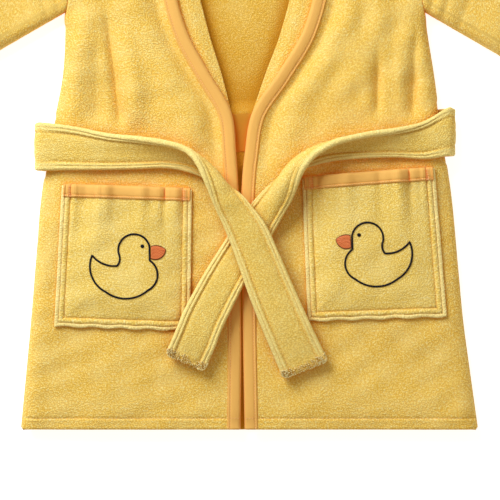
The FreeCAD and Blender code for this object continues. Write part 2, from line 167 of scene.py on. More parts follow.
def place(name, points, faces, uv, material):
    """Makes an object from points in millimetres, faces as index lists and uv in millimetres."""
    points = (np.asarray(points, float) + (0, -MIDDLE, 0)) * MM
    mesh = bpy.data.meshes.new(name)
    sizes = np.array([len(f) for f in faces])
    starts = np.concatenate([[0], np.cumsum(sizes)[:-1]])
    loops = np.fromiter((i for f in faces for i in f), int, int(sizes.sum()))
    mesh.vertices.add(len(points))
    mesh.vertices.foreach_set("co", points.astype(np.float32).ravel())
    mesh.loops.add(len(loops))
    mesh.loops.foreach_set("vertex_index", loops.astype(np.int32))
    mesh.polygons.add(len(sizes))
    mesh.polygons.foreach_set("loop_start", starts.astype(np.int32))
    mesh.polygons.foreach_set("use_smooth", np.ones(len(sizes), bool))
    layer = mesh.uv_layers.new(name="cloth")
    layer.data.foreach_set("uv", (np.asarray(uv)[loops] * MM).astype(np.float32).ravel())
    mesh.update(calc_edges=True)
    mesh.validate()
    mesh.materials.append(material)
    obj = bpy.data.objects.new(name, mesh)
    bpy.context.scene.collection.objects.link(obj)
    return obj


def grid_faces(index, flip, wrap=False):
    """Quads over a grid of vertex numbers; wrap joins its first row to its last."""
    if wrap:
        index = np.vstack([index, index[:1]])
    a, b, c, d = index[:-1, :-1], index[1:, :-1], index[1:, 1:], index[:-1, 1:]
    return np.stack([a, d, c, b] if flip else [a, b, c, d], -1).reshape(-1, 4)


def tube_faces(base, rings, sides):
    """The faces of a closed tube whose rings of points follow each other from point number base."""
    faces = []
    for r in range(rings - 1):
        for q in range(sides):
            a, b = base + r * sides + q, base + r * sides + (q + 1) % sides
            faces.append((a, b, b + sides, a + sides))
    last = base + (rings - 1) * sides
    return faces + [tuple(range(base + sides - 1, base - 1, -1)), tuple(range(last, last + sides))]


def run_lengths(grid, axis):
    """How far each point of a grid is from the grid's start, along one of its directions."""
    step = np.linalg.norm(np.diff(grid, axis=axis), axis=-1)
    pad = [(0, 0), (0, 0)]
    pad[axis] = (1, 0)
    return np.cumsum(np.pad(step, pad), axis=axis)


def cloth(name, grid, material, thick=CLOTH, pile=PILE, seed=1, flip=False, wrap=False, rough=None,
          fit=(None, None)):
    """A closed sheet of cloth with rounded edges about a grid of points.

    wrap joins its first row to its last, rough makes its pile longer in places, and fit gives its cloth an
    even width across or along the grid.
    """
    n, m = grid.shape[:2]
    if wrap:
        around = np.roll(grid, -1, 0) - np.roll(grid, 1, 0)
    else:
        around = np.gradient(grid, axis=0)
    normal = unit(np.cross(around, np.gradient(grid, axis=1))) * (-1 if flip else 1)
    across, along = run_lengths(grid, 0), run_lengths(grid, 1)
    edge = np.minimum(along, along[:, -1:] - along)
    if not wrap:
        edge = np.minimum(edge, np.minimum(across, across[-1:] - across))
    half = np.broadcast_to(np.asarray(thick, float) / 2, (n, m))
    f = np.clip(edge / np.maximum(half, 0.3), 0, 1)
    profile = np.sqrt(np.clip(1 - (1 - f) ** 2, 0, 1))
    rng = np.random.default_rng(seed)
    loops = rng.uniform(-1, 1, (2, n, m)) * pile
    if rough is not None:
        loops = loops * (1 + rough)
    top = grid + normal * ((half + loops[0]) * profile)[..., None]
    bottom = grid - normal * ((half + loops[1]) * profile)[..., None]
    index = np.arange(n * m).reshape(n, m)
    under = np.full((n, m), -1)
    inner = np.zeros((n, m), bool)
    inner[(slice(None) if wrap else slice(1, -1)), 1:-1] = True
    under[inner] = n * m + np.arange(inner.sum())
    under[~inner] = index[~inner]
    faces = np.vstack([grid_faces(index, flip, wrap), grid_faces(under, not flip, wrap)])
    points = np.vstack([top.reshape(-1, 3), bottom[inner]])
    if fit[0]:
        across = across * fit[0] / across[-1:]
    if fit[1]:
        along = along * fit[1] / along[:, -1:]
    uv = np.stack([across, along], -1)
    uv = np.vstack([uv.reshape(-1, 2), uv[inner]])
    return place(name, points, list(faces), uv, material)


def sweep(name, path, aside, up, loop, material, closed=False):
    """A closed outline, as (aside, up) pairs, carried along a path; it may change from point to point.

    closed joins the path's end to its start.
    """
    path, aside, up = (np.asarray(v, float) for v in (path, aside, up))
    n = len(path)
    loop = np.asarray(loop, float)
    loop = np.broadcast_to(loop, (n,) + loop.shape[-2:])
    k = loop.shape[1]
    points = path[:, None] + aside[:, None] * loop[..., :1] + up[:, None] * loop[..., 1:]
    index = np.arange(n * k).reshape(n, k)
    turn = np.einsum("ij,ij->i", np.cross(aside, up), np.gradient(path, axis=0)).sum() > 0
    x, y = loop[0].T
    area = np.sum(x * np.roll(y, -1) - np.roll(x, -1) * y)
    outward = (area > 0) == turn
    faces = list(grid_faces(np.hstack([index, index[:, :1]]), outward, closed))
    if not closed:
        caps = [index[0], index[-1][::-1]]
        faces += [cap[::-1] if outward else cap for cap in caps]
    along, girth = distances(path), distances(loop[n // 2])
    uv = np.stack(np.broadcast_arrays(along[:, None], girth[None, :]), -1).reshape(-1, 2)
    return place(name, points.reshape(-1, 3), faces, uv, material)


# Rings of a stitch: share of its length, share of its radius and how far it stands out of the cloth
STITCH_RINGS = [(0, 0.35, -0.25), (0.18, 1, 0.1), (0.82, 1, 0.1), (1, 0.35, -0.25)]
TAPE_STITCH = 1.9, 1.0, 0.3      # length, gap and radius of the stitches in most tapes


def stitches(name, lines, material, length, gap, radius):
    """Short threads along lines of points, each line with the direction that faces out."""
    points, faces, uv = [], [], []
    ring = round_turns(5)
    for line, up in lines:
        spots, _ = resample(np.hstack([line, np.broadcast_to(up, line.shape)]), length + gap)
        for first, last in zip(spots[:-1], spots[1:]):
            run = (last[:3] - first[:3]) * length / (length + gap)
            along, out = unit(run), unit(first[3:])
            side = unit(np.cross(along, out))
            faces += tube_faces(len(points), len(STITCH_RINGS), len(ring))
            for f, size, lift in STITCH_RINGS:
                spot = first[:3] + run * f + out * lift
                for turn in ring:
                    points.append(spot + (side * math.cos(turn) + out * math.sin(turn)) * radius * size)
                    uv.append((f * length, turn))
    return place(name, points, faces, uv, material)


# ---------------------------------------------------------------- materials

def nodes_of(name):
    """A new material with a bare Principled shader."""
    material = bpy.data.materials.new(name)
    material.use_nodes = True
    tree = material.node_tree
    tree.nodes.clear()
    out = tree.nodes.new("ShaderNodeOutputMaterial")
    shader = tree.nodes.new("ShaderNodeBsdfPrincipled")
    tree.links.new(shader.outputs["BSDF"], out.inputs["Surface"])
    return material, tree, shader


def node(tree, kind, links=(), **settings):
    """A node whose settings are input values or properties, and links are pairs of its input and a source."""
    made = tree.nodes.new(kind)
    for key, value in settings.items():
        if key in made.inputs:
            made.inputs[key].default_value = value
        else:
            setattr(made, key, value)
    for socket, source in links:
        tree.links.new(source, made.inputs[socket])
    return made


FIRST_COLOUR, SECOND_COLOUR, MIXED_COLOUR = 6, 7, 2      # sockets of a colour mix


def mixed(tree, factor, first, second):
    """A colour mix; first and second are colours or sockets."""
    mix = tree.nodes.new("ShaderNodeMix")
    mix.data_type = "RGBA"
    tree.links.new(factor, mix.inputs["Factor"])
    for number, value in ((FIRST_COLOUR, first), (SECOND_COLOUR, second)):
        if isinstance(value, tuple):
            mix.inputs[number].default_value = value + (1.0,)
        else:
            tree.links.new(value, mix.inputs[number])
    return mix.outputs[MIXED_COLOUR]


def ranged(tree, source, low, high, to_low=0.0, to_high=1.0):
    """A smooth step between two values of a socket; low may be the larger one."""
    made = tree.nodes.new("ShaderNodeMapRange")
    made.interpolation_type = "SMOOTHSTEP"
    for key, value in zip(("From Min", "From Max", "To Min", "To Max"), (low, high, to_low, to_high)):
        made.inputs[key].default_value = value
    tree.links.new(source, made.inputs["Value"])
    return made.outputs["Result"]


def maths(tree, operation, first, second=None):
    """An arithmetic node on one or two numbers or sockets."""
    made = tree.nodes.new("ShaderNodeMath")
    made.operation = operation
    for socket, value in zip(made.inputs, (first, second)):
        if isinstance(value, (int, float)):
            socket.default_value = value
        elif value is not None:
            tree.links.new(value, socket)
    return made.outputs[0]


def set_inputs(shader, values):
    for key, value in values.items():
        shader.inputs[key].default_value = value


def add_relief(tree, shader, height, strength, depth):
    relief = node(tree, "ShaderNodeBump", [("Height", height)], Strength=strength, Distance=depth)
    tree.links.new(relief.outputs["Normal"], shader.inputs["Normal"])


def hidden_places(tree, reach, open_below, full_below, most):
    """How far a place is hidden from its surroundings, which lie within reach metres; this sets the strength
    of the painted shade and painted glow.
    """
    nook = node(tree, "ShaderNodeAmbientOcclusion", samples=6, Distance=reach)
    return ranged(tree, nook.outputs["AO"], open_below, full_below, 0.0, most)


def edge_distance(tree, uv, sewn):
    """Distance from a cloth's sewn edges: both sides of its width and, for a pocket, the bottom too."""
    parts = node(tree, "ShaderNodeSeparateXYZ", [(0, uv)])
    across = parts.outputs["X" if sewn["pocket"] else "Y"]
    near = maths(tree, "MINIMUM", across, maths(tree, "SUBTRACT", sewn["width"] * MM, across))
    return maths(tree, "MINIMUM", near, parts.outputs["Y"]) if sewn["pocket"] else near


def groove(tree, edge, middle, half, depth):
    """How much painted shade darkens a sewn groove, at a distance from the edge."""
    away = maths(tree, "ABSOLUTE", maths(tree, "SUBTRACT", edge, middle * MM))
    return ranged(tree, away, half * MM, 0.15 * half * MM, 0.0, depth)


LOOP, TUFT, PATCH = 1.7, 2.3, 34.0               # sizes of the loops, their tufts and the paler patches
LOOP_SHIFT, LOOP_DEPTH = 0.6, 1.0                # how far a loop strays, and how high it stands
ROLL_HIGHLIGHT_START, ROLL_HIGHLIGHT_END, ROLL_HIGHLIGHT_SHARE = 7.5, 5.5, 0.4     # painted highlight: a sewn cloth's raised roll near its edge is painted paler
THREAD, PLY, THREAD_DEPTH = 0.55, 0.45, 0.2      # a tape's yarn, a sewing thread's ply, and their relief
WAVE_SCALE = 0.16        # over a size in metres, this makes a wave texture repeat about every two sizes


def noise(tree, uv, scale, detail, roughness=0.5):
    return node(tree, "ShaderNodeTexNoise", [("Vector", uv)], Scale=scale, Detail=detail, Roughness=roughness)


def waves(tree, uv, size, distortion, direction):
    return node(tree, "ShaderNodeTexWave", [("Vector", uv)], Scale=WAVE_SCALE / (size * MM),
                Distortion=distortion, bands_direction=direction).outputs["Fac"]


def terry(name, light, base, gap, painted_shade, shade=(0.86, 0.20), reach=24, glow=0.0, sewn=None):
    """Looped cotton terry: painted highlight on the loop tips, painted shade between the loops, and painted
    shade in the folds.
    """
    material, tree, shader = nodes_of(name)
    uv = node(tree, "ShaderNodeTexCoord").outputs["UV"]
    stray = noise(tree, uv, 900.0, 1.0).outputs["Color"]
    shift = node(tree, "ShaderNodeVectorMath", [(0, stray)], operation="SCALE", Scale=LOOP_SHIFT * MM)
    where = node(tree, "ShaderNodeVectorMath", [(0, uv), (1, shift.outputs[0])], operation="ADD").outputs[0]
    cells = node(tree, "ShaderNodeTexVoronoi", [("Vector", where)], Scale=1 / (LOOP * MM), Randomness=1.0,
                 voronoi_dimensions="2D")
    tufts = noise(tree, uv, 1 / (TUFT * MM), 1.5).outputs["Fac"]
    patches = noise(tree, uv, 1 / (PATCH * MM), 4.0, 0.65).outputs["Fac"]
    # Painted light on the loops: the colour follows their bump, with painted highlight on raised tips and
    # tufts and painted shade in the gaps
    tips = ranged(tree, cells.outputs["Distance"], 0.55, 0.12)
    colour = mixed(tree, tips, gap, base)
    colour = mixed(tree, ranged(tree, tufts, 0.52, 0.72, 0.0, 0.5), colour, light)
    colour = mixed(tree, ranged(tree, tufts, 0.46, 0.26, 0.0, 0.45), colour, gap)
    colour = mixed(tree, ranged(tree, patches, 0.40, 0.66, 0.0, 0.16), colour, light)
    if sewn:
        # Painted highlight on the raised roll by each sewn edge, and painted shade in its stitched grooves
        edge = edge_distance(tree, uv, sewn)
        roll_highlight = ranged(tree, edge, ROLL_HIGHLIGHT_START * MM, ROLL_HIGHLIGHT_END * MM, 0.0, ROLL_HIGHLIGHT_SHARE)
        colour = mixed(tree, roll_highlight, colour, light)
        for middle, half, depth in sewn["shaded_grooves"]:
            colour = mixed(tree, groove(tree, edge, middle, half, depth), colour, painted_shade)
    # Painted shade: ambient occlusion mixes the painted shade colour into folds, nooks and places under other
    # parts
    hidden = hidden_places(tree, reach * MM, *shade, 0.9)
    tree.links.new(mixed(tree, hidden, colour, painted_shade), shader.inputs["Base Color"])
    paint_glow(tree, shader, hidden, painted_shade, glow)
    set_inputs(shader, {"Roughness": 0.95, "Specular IOR Level": 0.12, "Sheen Weight": 0.22,
                        "Sheen Roughness": 0.5, "Sheen Tint": light + (1.0,)})
    height = maths(tree, "ADD", tips, maths(tree, "MULTIPLY", tufts, 0.45))
    add_relief(tree, shader, height, 0.5, LOOP_DEPTH * MM)
    return material


def paint_glow(tree, shader, hidden, painted_shade, glow):
    """A painted glow in the cloth's narrow, hidden places, standing in for light that comes through the
    cloth.
    """
    if glow:
        tree.links.new(maths(tree, "MULTIPLY", hidden, glow), shader.inputs["Emission Strength"])
        shader.inputs["Emission Color"].default_value = painted_shade + (1.0,)


def woven(name, light, base, painted_shade, yarn=THREAD, glow=0.0):
    """Plain woven cotton tape."""
    material, tree, shader = nodes_of(name)
    uv = node(tree, "ShaderNodeTexCoord").outputs["UV"]
    weave = maths(tree, "MAXIMUM", *(waves(tree, uv, yarn, 0.4, direction) for direction in ("X", "Y")))
    streaks = noise(tree, uv, 110.0, 3.0).outputs["Fac"]
    colour = mixed(tree, ranged(tree, weave, 0.2, 0.9), base, light)
    colour = mixed(tree, ranged(tree, streaks, 0.5, 0.75, 0.0, 0.35), colour, light)
    # Painted shade in nooks, from ambient occlusion
    hidden = hidden_places(tree, 16 * MM, 0.85, 0.25, 0.85)
    tree.links.new(mixed(tree, hidden, colour, painted_shade), shader.inputs["Base Color"])
    paint_glow(tree, shader, hidden, painted_shade, glow)
    set_inputs(shader, {"Roughness": 0.7, "Specular IOR Level": 0.25, "Sheen Weight": 0.12})
    add_relief(tree, shader, weave, 0.5, THREAD_DEPTH * MM)
    return material


def thread(name, light, base, gloss=0.45):
    """Embroidery and sewing thread, with a soft gloss."""
    material, tree, shader = nodes_of(name)
    ply = waves(tree, node(tree, "ShaderNodeTexCoord").outputs["UV"], PLY, 1.5, "DIAGONAL")
    tree.links.new(mixed(tree, ply, base, light), shader.inputs["Base Color"])
    set_inputs(shader, {"Roughness": 0.42, "Specular IOR Level": gloss})
    add_relief(tree, shader, ply, 0.4, THREAD_DEPTH * MM)
    return material


# Sewn cloths: a pocket's bottom edge is sewn too. Each groove is its distance from the edge, its half width
# and how much painted shade darkens it.
POCKET_SEWN = {"pocket": True, "width": POCKET_WIDTH, "shaded_grooves": [(4, 0.8, 0.5), (9.6, 1.4, 0.22)]}
BELT_SEWN = {"pocket": False, "width": BELT, "shaded_grooves": [(4.1, 0.6, 0.35), (8.4, 1.0, 0.42)]}
# Colours of the terry: loop tips with painted highlight, its own, painted shade between the loops, and
# painted shade in the folds
TERRY = terry("terry_body", (1.0, 0.88, 0.44), (1.0, 0.72, 0.185), (0.80, 0.46, 0.07), (0.95, 0.34, 0.015))
# The back's terry: a darker copy of the body's terry, painted shade for the inside of the robe, with wider
# painted shade in nooks and a painted glow
SHADED_TERRY = terry("terry_shaded_inside", (0.98, 0.78, 0.30), (0.94, 0.62, 0.12), (0.72, 0.40, 0.05),
                    (0.46, 0.19, 0.006), shade=(0.995, 0.84), reach=70, glow=0.2)
POCKET_TERRY = terry("terry_pocket", (1.0, 0.89, 0.48), (1.0, 0.75, 0.23), (0.80, 0.52, 0.10),
                     (0.72, 0.33, 0.03), sewn=POCKET_SEWN)
BELT_TERRY = terry("terry_belt", (1.0, 0.89, 0.42), (1.0, 0.73, 0.20), (0.78, 0.49, 0.09),
                   (0.66, 0.32, 0.03), sewn=BELT_SEWN)
# Peach binding: painted shade in its nooks and a painted glow in the slot between the fronts
PEACH = woven("cotton_binding", (0.85, 0.47, 0.12), (0.80, 0.39, 0.08), (0.74, 0.18, 0.005), glow=0.20)
# Orange cotton tape; its colours are also darkened with painted shade, as it lies in the shade inside the
# back, and it has a painted glow in its nooks
TAPE = woven("cotton_tape", (0.55, 0.24, 0.012), (0.44, 0.17, 0.006), (0.60, 0.12, 0.002), glow=0.35)
LABEL = woven("label_cloth", (0.72, 0.70, 0.64), (0.66, 0.63, 0.56), (0.5, 0.45, 0.35), yarn=0.4)
SEWING = thread("sewing_thread", (1.0, 0.80, 0.36), (0.93, 0.62, 0.20))
PEACH_THREAD = thread("binding_thread", (1.0, 0.66, 0.34), (0.90, 0.42, 0.14))
DARK_THREAD = thread("dark_thread", (0.014, 0.015, 0.022), (0.003, 0.003, 0.006), gloss=0.12)
LOOSE_PILE = thread("loose_pile", (1.0, 0.90, 0.52), (0.94, 0.76, 0.34), gloss=0.05)
CORAL_THREAD = thread("coral_thread", (0.82, 0.25, 0.08), (0.66, 0.135, 0.042), gloss=0.2)
RUST_THREAD = thread("rust_thread", (0.16, 0.035, 0.015), (0.06, 0.012, 0.006), gloss=0.1)


# ---------------------------------------------------------------- body outline and surfaces

# Curves as x at each y: a front's edge and its facing's edge from the slot's middle, and where that lies
FRONT_EDGE = [(3.5, 0), (3.0, 30), (2.3, 80), (2.3, 120), (2.6, 200), (2.7, 235), (5.5, 275), (12, 318),
              (36.5, 358), (61, 403), (75, 465), (80, 562)]
FACING_EDGE = [(11, 320), (22, 357), (37, 402), (50, 460), (56, 545)]
SLOT_SHIFT = [(-2.4, 0), (-3.0, 100), (-5.0, 235), (-3.8, 300), (-1.4, 358), (0, 420), (0, 562)]
front_edge, facing_edge, slot_shift = (curve_of(rows) for rows in (FRONT_EDGE, FACING_EDGE, SLOT_SHIFT))
# How far each side seam lies outside its pattern line, as the robe is spread by hand
SPREAD = {LEFT: [(-1.5, 0), (0.5, 100), (3.0, 180), (4.5, 235), (1.0, 300), (-3.0, 354), (-0.5, 400),
                 (2.8, 426), (2.8, 562)],
          RIGHT: [(7.5, 0), (6.0, 60), (5.0, 110), (6.0, 160), (7.5, 235), (5.0, 300), (4.0, 354), (2.0, 400),
                  (2.8, 426), (2.8, 562)]}
spread_of = {side: curve_of(rows) for side, rows in SPREAD.items()}


def outer_x(side, y):
    """Half the body's width: the side seam, then the armhole."""
    pattern = np.interp(y, [0, ARMPIT[1], SHOULDER[1]], [HEM_X, ARMPIT[0], SHOULDER[0]])
    return pattern + spread_of[side](y)


def body_x(x, y):
    """Half the body's width on the side of the robe that x is on."""
    return np.where(x < 0, outer_x(LEFT, y), outer_x(RIGHT, y))


def below_armpit(y):
    """1 where the sides are sewn, and 0 where the sleeves open."""
    return smooth(y, ARMPIT[1] + 8, ARMPIT[1] - 18)


def shoulder_line(x):
    """The y of the shoulder seam."""
    return np.interp(np.abs(x), [NECK[0], SHOULDER[0]], [NECK[1], SHOULDER[1]])


def belt_line(x):
    """The y of the belt's middle behind the back, which slants a little."""
    return CENTRE_BACK_Y + 0.04125 * x


def roll(distance, radius):
    """How far a cloth has risen to its full height, at a distance from where it turns over."""
    f = np.clip(distance / radius, 0, 1)
    return np.sqrt(1 - (1 - f) ** 2)


def edge_of(side, y):
    """The x of a front's inner edge."""
    return slot_shift(y) + side * front_edge(y)


# Soft creases in each front: x, lowest y, highest y, slant, width and depth
CREASES = {LEFT: [(-123, 296, 440, -0.13, 5.6, 5.4), (-106, 300, 430, -0.13, 9.0, -3.0),
                  (-147, 300, 430, -0.03, 9.0, 4.2), (-170, 300, 430, 0.02, 9.0, -2.6),
                  (-52, 250, 330, 0.25, 9.0, 1.3), (-203, 160, 330, 0.12, 6.0, 1.4)],
           RIGHT: [(133, 308, 400, 0.0, 5.0, 4.6), (121, 310, 390, 0.0, 7.0, -1.8),
                   (168, 305, 430, 0.03, 6.0, 5.0), (155, 310, 420, 0.0, 6.0, -2.0),
                   (48, 250, 330, -0.22, 9.0, 1.3), (208, 150, 330, -0.12, 6.0, 1.2)]}


def front_z(side, x, y):
    """Height of the middle of a front's cloth."""
    outer = outer_x(side, y) - CLOTH / 2
    side_drop = (1 - roll(outer - side * x, 14.0)) * below_armpit(y)
    shoulder_drop = 1 - roll(shoulder_line(x) - y, 12.0)
    height = FRONT_Z - (FRONT_Z - SEAM_Z) * np.maximum(side_drop, shoulder_drop)
    middle = (1 - side_drop) * (1 - shoulder_drop)
    inward = side * (x - edge_of(side, y))
    height = height + 1.6 * middle * swell(x, y, 95, 11 + side) * smooth(inward, 5, 60)
    chest = smooth(y, 290, 345)
    height = height + 2.2 * middle * swell(1.6 * x, 0.6 * y, 62, 15 + side) * smooth(inward, 24, 60) * chest
    height = height + 0.55 * middle * swell(x, y, 34, 21 + side) * smooth(inward, 8, 40)
    for cx, low, high, slant, width, depth in CREASES[side]:
        reach = smooth(y, low, low + 22) * smooth(y, high, high - 60)
        height = height - depth * reach * middle * bump(x - slant * (y - low), cx, width)
    valley = smooth(y, 235, 300) * middle
    height = height - 4.6 * valley * bump(inward, 20, 8.5) + 2.4 * valley * bump(inward, 42, 14)
    height = height - 1.4 * bump(y, 4, 10) * middle
    return height


def back_z(x, y):
    """Height of the middle of the back's cloth, raised over the belt."""
    side_rise = (1 - roll(body_x(x, y) - CLOTH / 2 - np.abs(x), 13.0)) * below_armpit(y)
    shoulder_rise = (1 - roll(shoulder_line(x) - y, 12.0)) * smooth(np.abs(x), NECK[0] - 8, NECK[0] + 6)
    ridge = 7.5 * smooth(np.abs(y - belt_line(x)), 37, 26)
    return np.maximum(BACK_Z + ridge, BACK_Z + (SEAM_Z - BACK_Z) * np.maximum(side_rise, shoulder_rise))


def body_blend(piece):
    """Bakes the piece's transform into its mesh."""
    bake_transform(piece)


def make_front(side):
    name = label(side)
    across_hem = (0, 0.35, 0.9, 1.7, 2.8, 4.2, 5.8, 7.4, 8.8, 9.7, 10.4, 11.1, 11.8, 12.8, 14.2)
    up, across = spaced(NECK[1], 2.1, across_hem), spaced(200, 2.05)
    s, t = np.meshgrid(across, up, indexing="ij")
    y = t * (NECK[1] - (NECK[1] - SHOULDER[1]) * s)
    inner = edge_of(side, y)
    outer = side * (outer_x(side, y) - CLOTH / 2)
    x = inner + (outer - inner) * s
    z = front_z(side, x, y)
    hem = 0.75 * smooth(y, HEM_BAND + 0.3, HEM_BAND - 1.6) - 0.9 * bump(y, HEM_BAND + 0.4, 0.9)
    grid = np.stack([x, y, z + 0.3 * hem], -1)
    thick = CLOTH + hem * smooth(side * (x - inner), 11, 15)
    piece = cloth(f"{name}_front", grid, TERRY, thick=thick, seed=31 + side, flip=side == LEFT)
    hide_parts(f"{name}_front_panel", f"{name}_front_chest")
    body_blend(piece)


def make_back():
    s, t = np.meshgrid(spaced(2 * HEM_X, 3.1) * 2 - 1, spaced(NECK[1], 3.0), indexing="ij")
    top = np.interp(np.abs(s), [0, NECK[0] / SHOULDER[0], 1], [NECK[1], NECK[1], SHOULDER[1]])
    y = t * (top + BACK_LOWER) - BACK_LOWER
    x = s * (body_x(s, y) - CLOTH / 2)
    piece = cloth("back", np.stack([x, y, back_z(x, y)], -1), SHADED_TERRY, seed=5)
    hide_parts("back_panel")
    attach(piece, "robe")


# ---------------------------------------------------------------- bindings of the front edges

def bound_edge(width):
    """Outline of a tape folded over a cloth's edge and stitched near its own; aside points into the cloth."""
    half, wrap, lift = CLOTH / 2, 1.3, 3.0
    top = [(width + 0.2, half - 0.1), (width, lift - 0.1), (width - 0.8, lift + 0.45),
           (width - 1.7, lift + 0.3), (width - BINDING_SEAM, lift - 0.35), (width - 3.0, lift + 0.25),
           (width - 4.4, lift + 0.5),
           (width / 2, lift + 0.65), (1.6, lift + 0.55), (0.2, lift + 0.1), (-wrap * 0.75, lift * 0.62),
           (-wrap - 0.15, 0.9)]
    under = [(x, -z) for x, z in reversed(top)]
    inside = [(width - 0.3, -half), (0.4, -half + 0.1), (0.0, 0), (0.4, half - 0.1), (width - 0.3, half)]
    return top + under + inside


def edge_frames(side):
    """Points along a front's inner edge, with the directions into the cloth and out of it."""
    low, high, step, near, far = 0.4, 561.5, 1.6, 6.0, 11.0
    y = np.linspace(low, high, int((high - low) / step))
    x = edge_of(side, y)
    flat = np.stack([x, y, np.zeros_like(y)], 1)
    along = direction(flat)
    aside = np.stack([along[:, 1], -along[:, 0], np.zeros_like(y)], 1) * side
    z = front_z(side, x + near * aside[:, 0], y)
    path = np.stack([x, y, z], 1)
    tilt = (front_z(side, x + far * aside[:, 0], y + far * aside[:, 1]) - z) / far
    aside = unit(aside + np.stack([0 * y, 0 * y, tilt], 1))
    up = unit(np.cross(aside, along)) * -side
    up = up * np.sign(up[:, 2:])
    return path, aside, up


def make_binding(side):
    name = label(side)
    path, aside, up = edge_frames(side)
    piece = sweep(f"{name}_front_tape", path, aside, up, bound_edge(BINDING), PEACH)
    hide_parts(f"{name}_front_binding", f"{name}_neck_binding")
    body_blend(piece)
    seam = path + aside * (BINDING - BINDING_SEAM) + up * 2.85
    i = 7                    # where the hem's seam crosses the tape
    crossing = path[i] + aside[i] * np.linspace(0, BINDING - 2.5, 6)[:, None] + up[i] * 3.6
    lines = [(seam, up), (crossing, up[i])]
    sewn = stitches(f"{name}_front_tape_stitches", lines, PEACH_THREAD, *TAPE_STITCH)
    body_blend(sewn)


def make_facing(side):
    """The terry facing that shows inside the open neck."""
    name = label(side)
    low, high, width = 318, 546, 40
    s, t = np.meshgrid(spaced(46, 2.0), spaced(250, 2.2), indexing="ij")
    y = low + t * (high - low)
    inner = slot_shift(y) + side * facing_edge(y)
    x = inner + side * s * width
    z = np.minimum(10.8 + 2.4 * smooth(s * width, 0, 13), front_z(side, x, y) - CLOTH / 2 - 2.0)
    piece = cloth(f"{name}_facing", np.stack([x, y, z], -1), TERRY, thick=2.6, seed=41 + side,
                  flip=side == LEFT, pile=0.25)
    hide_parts(f"{name}_front_facing")
    body_blend(piece)


# ---------------------------------------------------------------- pockets

# Corners of each pocket: mouth left, mouth right, bottom right, bottom left
POCKETS = {LEFT: [(-183, 245), (-53, 240.5), (-54.5, 99), (-191, 103.5)],
           RIGHT: [(57, 252), (189.5, 262), (202, 113), (62.5, 108.5)]}
# Small pleats under each mouth: share of the width, width and height
PLEATS = {LEFT: [(0.29, 1.5, 2.2), (0.34, 5.0, 3.6), (0.19, 7.0, -3.4), (0.62, 4.6, 2.4), (0.79, 3.4, -3.8),
                 (0.88, 3.0, 2.2), (0.10, 1.6, 1.6)],
          RIGHT: [(0.12, 4.0, -3.0), (0.33, 6.0, 2.4), (0.72, 3.5, 3.2), (0.80, 3.0, -3.4), (0.58, 5.0, -2.4),
                  (0.91, 1.5, 1.7)]}


def pocket_xy(side, a, b):
    """A point of the pocket: a from its left edge to its right, b from its bottom to its mouth."""
    return between_corners(POCKETS[side], a, b)


def pocket_sizes(side):
    """The mean width and height of a pocket."""
    tl, tr, br, bl = (np.array(c, float) for c in POCKETS[side])
    return (np.linalg.norm(tr - tl) + np.linalg.norm(br - bl)) / 2, np.linalg.norm(tl + tr - bl - br) / 2


def pocket_z(side, a, b):
    """Height of the middle of the pocket's cloth."""
    width, height = pocket_sizes(side)
    xy = pocket_xy(side, a, b)
    rest = front_z(side, xy[..., 0], xy[..., 1]) + CLOTH / 2 + POCKET_CLOTH / 2
    edge = np.minimum(np.minimum(a, 1 - a) * width, b * height)
    down = (1 - b) * height
    puff = 4.6 * smooth(edge, 4, 34) + 0.8 * smooth(edge, 0, 3)
    puff = puff + 1.1 * bump(edge, 6.6, 1.6) + 0.5 * bump(edge, 1.6, 1.5) - 0.9 * bump(edge, 4.0, 0.9)
    puff = puff - 1.3 * bump(edge, 9.4, 1.5)
    for share, wide, tall in PLEATS[side]:
        puff = puff + tall * bump(a * width, share * width, wide + 0.05 * down) * smooth(down, 74, 4)
    sag = 0.5 * swell(a * width, b * height, 46, 60 + side) * smooth(edge, 8, 26)
    return rest + puff + sag


def pocket_point(side, a, b, lift=0.0):
    """A point on the middle of the pocket's cloth, or lift above it."""
    return np.column_stack([pocket_xy(side, a, b), pocket_z(side, a, b) + lift])


def make_pocket(side):
    name = label(side)
    width, height = pocket_sizes(side)
    step = 1.9
    sewn_edge = np.concatenate([(0, 0.35, 0.9), np.arange(1.6, 12, 0.75)])
    inner = np.linspace(12.2, height - 3, int(height / step))
    up = np.concatenate([sewn_edge, inner, height - np.array([1.8, 0.9, 0.35, 0])])
    a, b = np.meshgrid(spaced(width, step, sewn_edge), up / height, indexing="ij")
    xy = pocket_xy(side, a, b)
    wavy = 0.7 * np.sin(a * 31 + side) * bump(b * height, 0, 6)
    grid = np.stack([xy[..., 0], xy[..., 1] + wavy, pocket_z(side, a, b)], -1)
    piece = cloth(f"{name}_pocket_cloth", grid, POCKET_TERRY, thick=POCKET_CLOTH, seed=51 + side, pile=0.2,
                  fit=(POCKET_WIDTH, None))
    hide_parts(f"{name}_pocket")
    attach(piece, f"{name}_front")
    make_pocket_tape(side)
    make_pocket_seams(side)


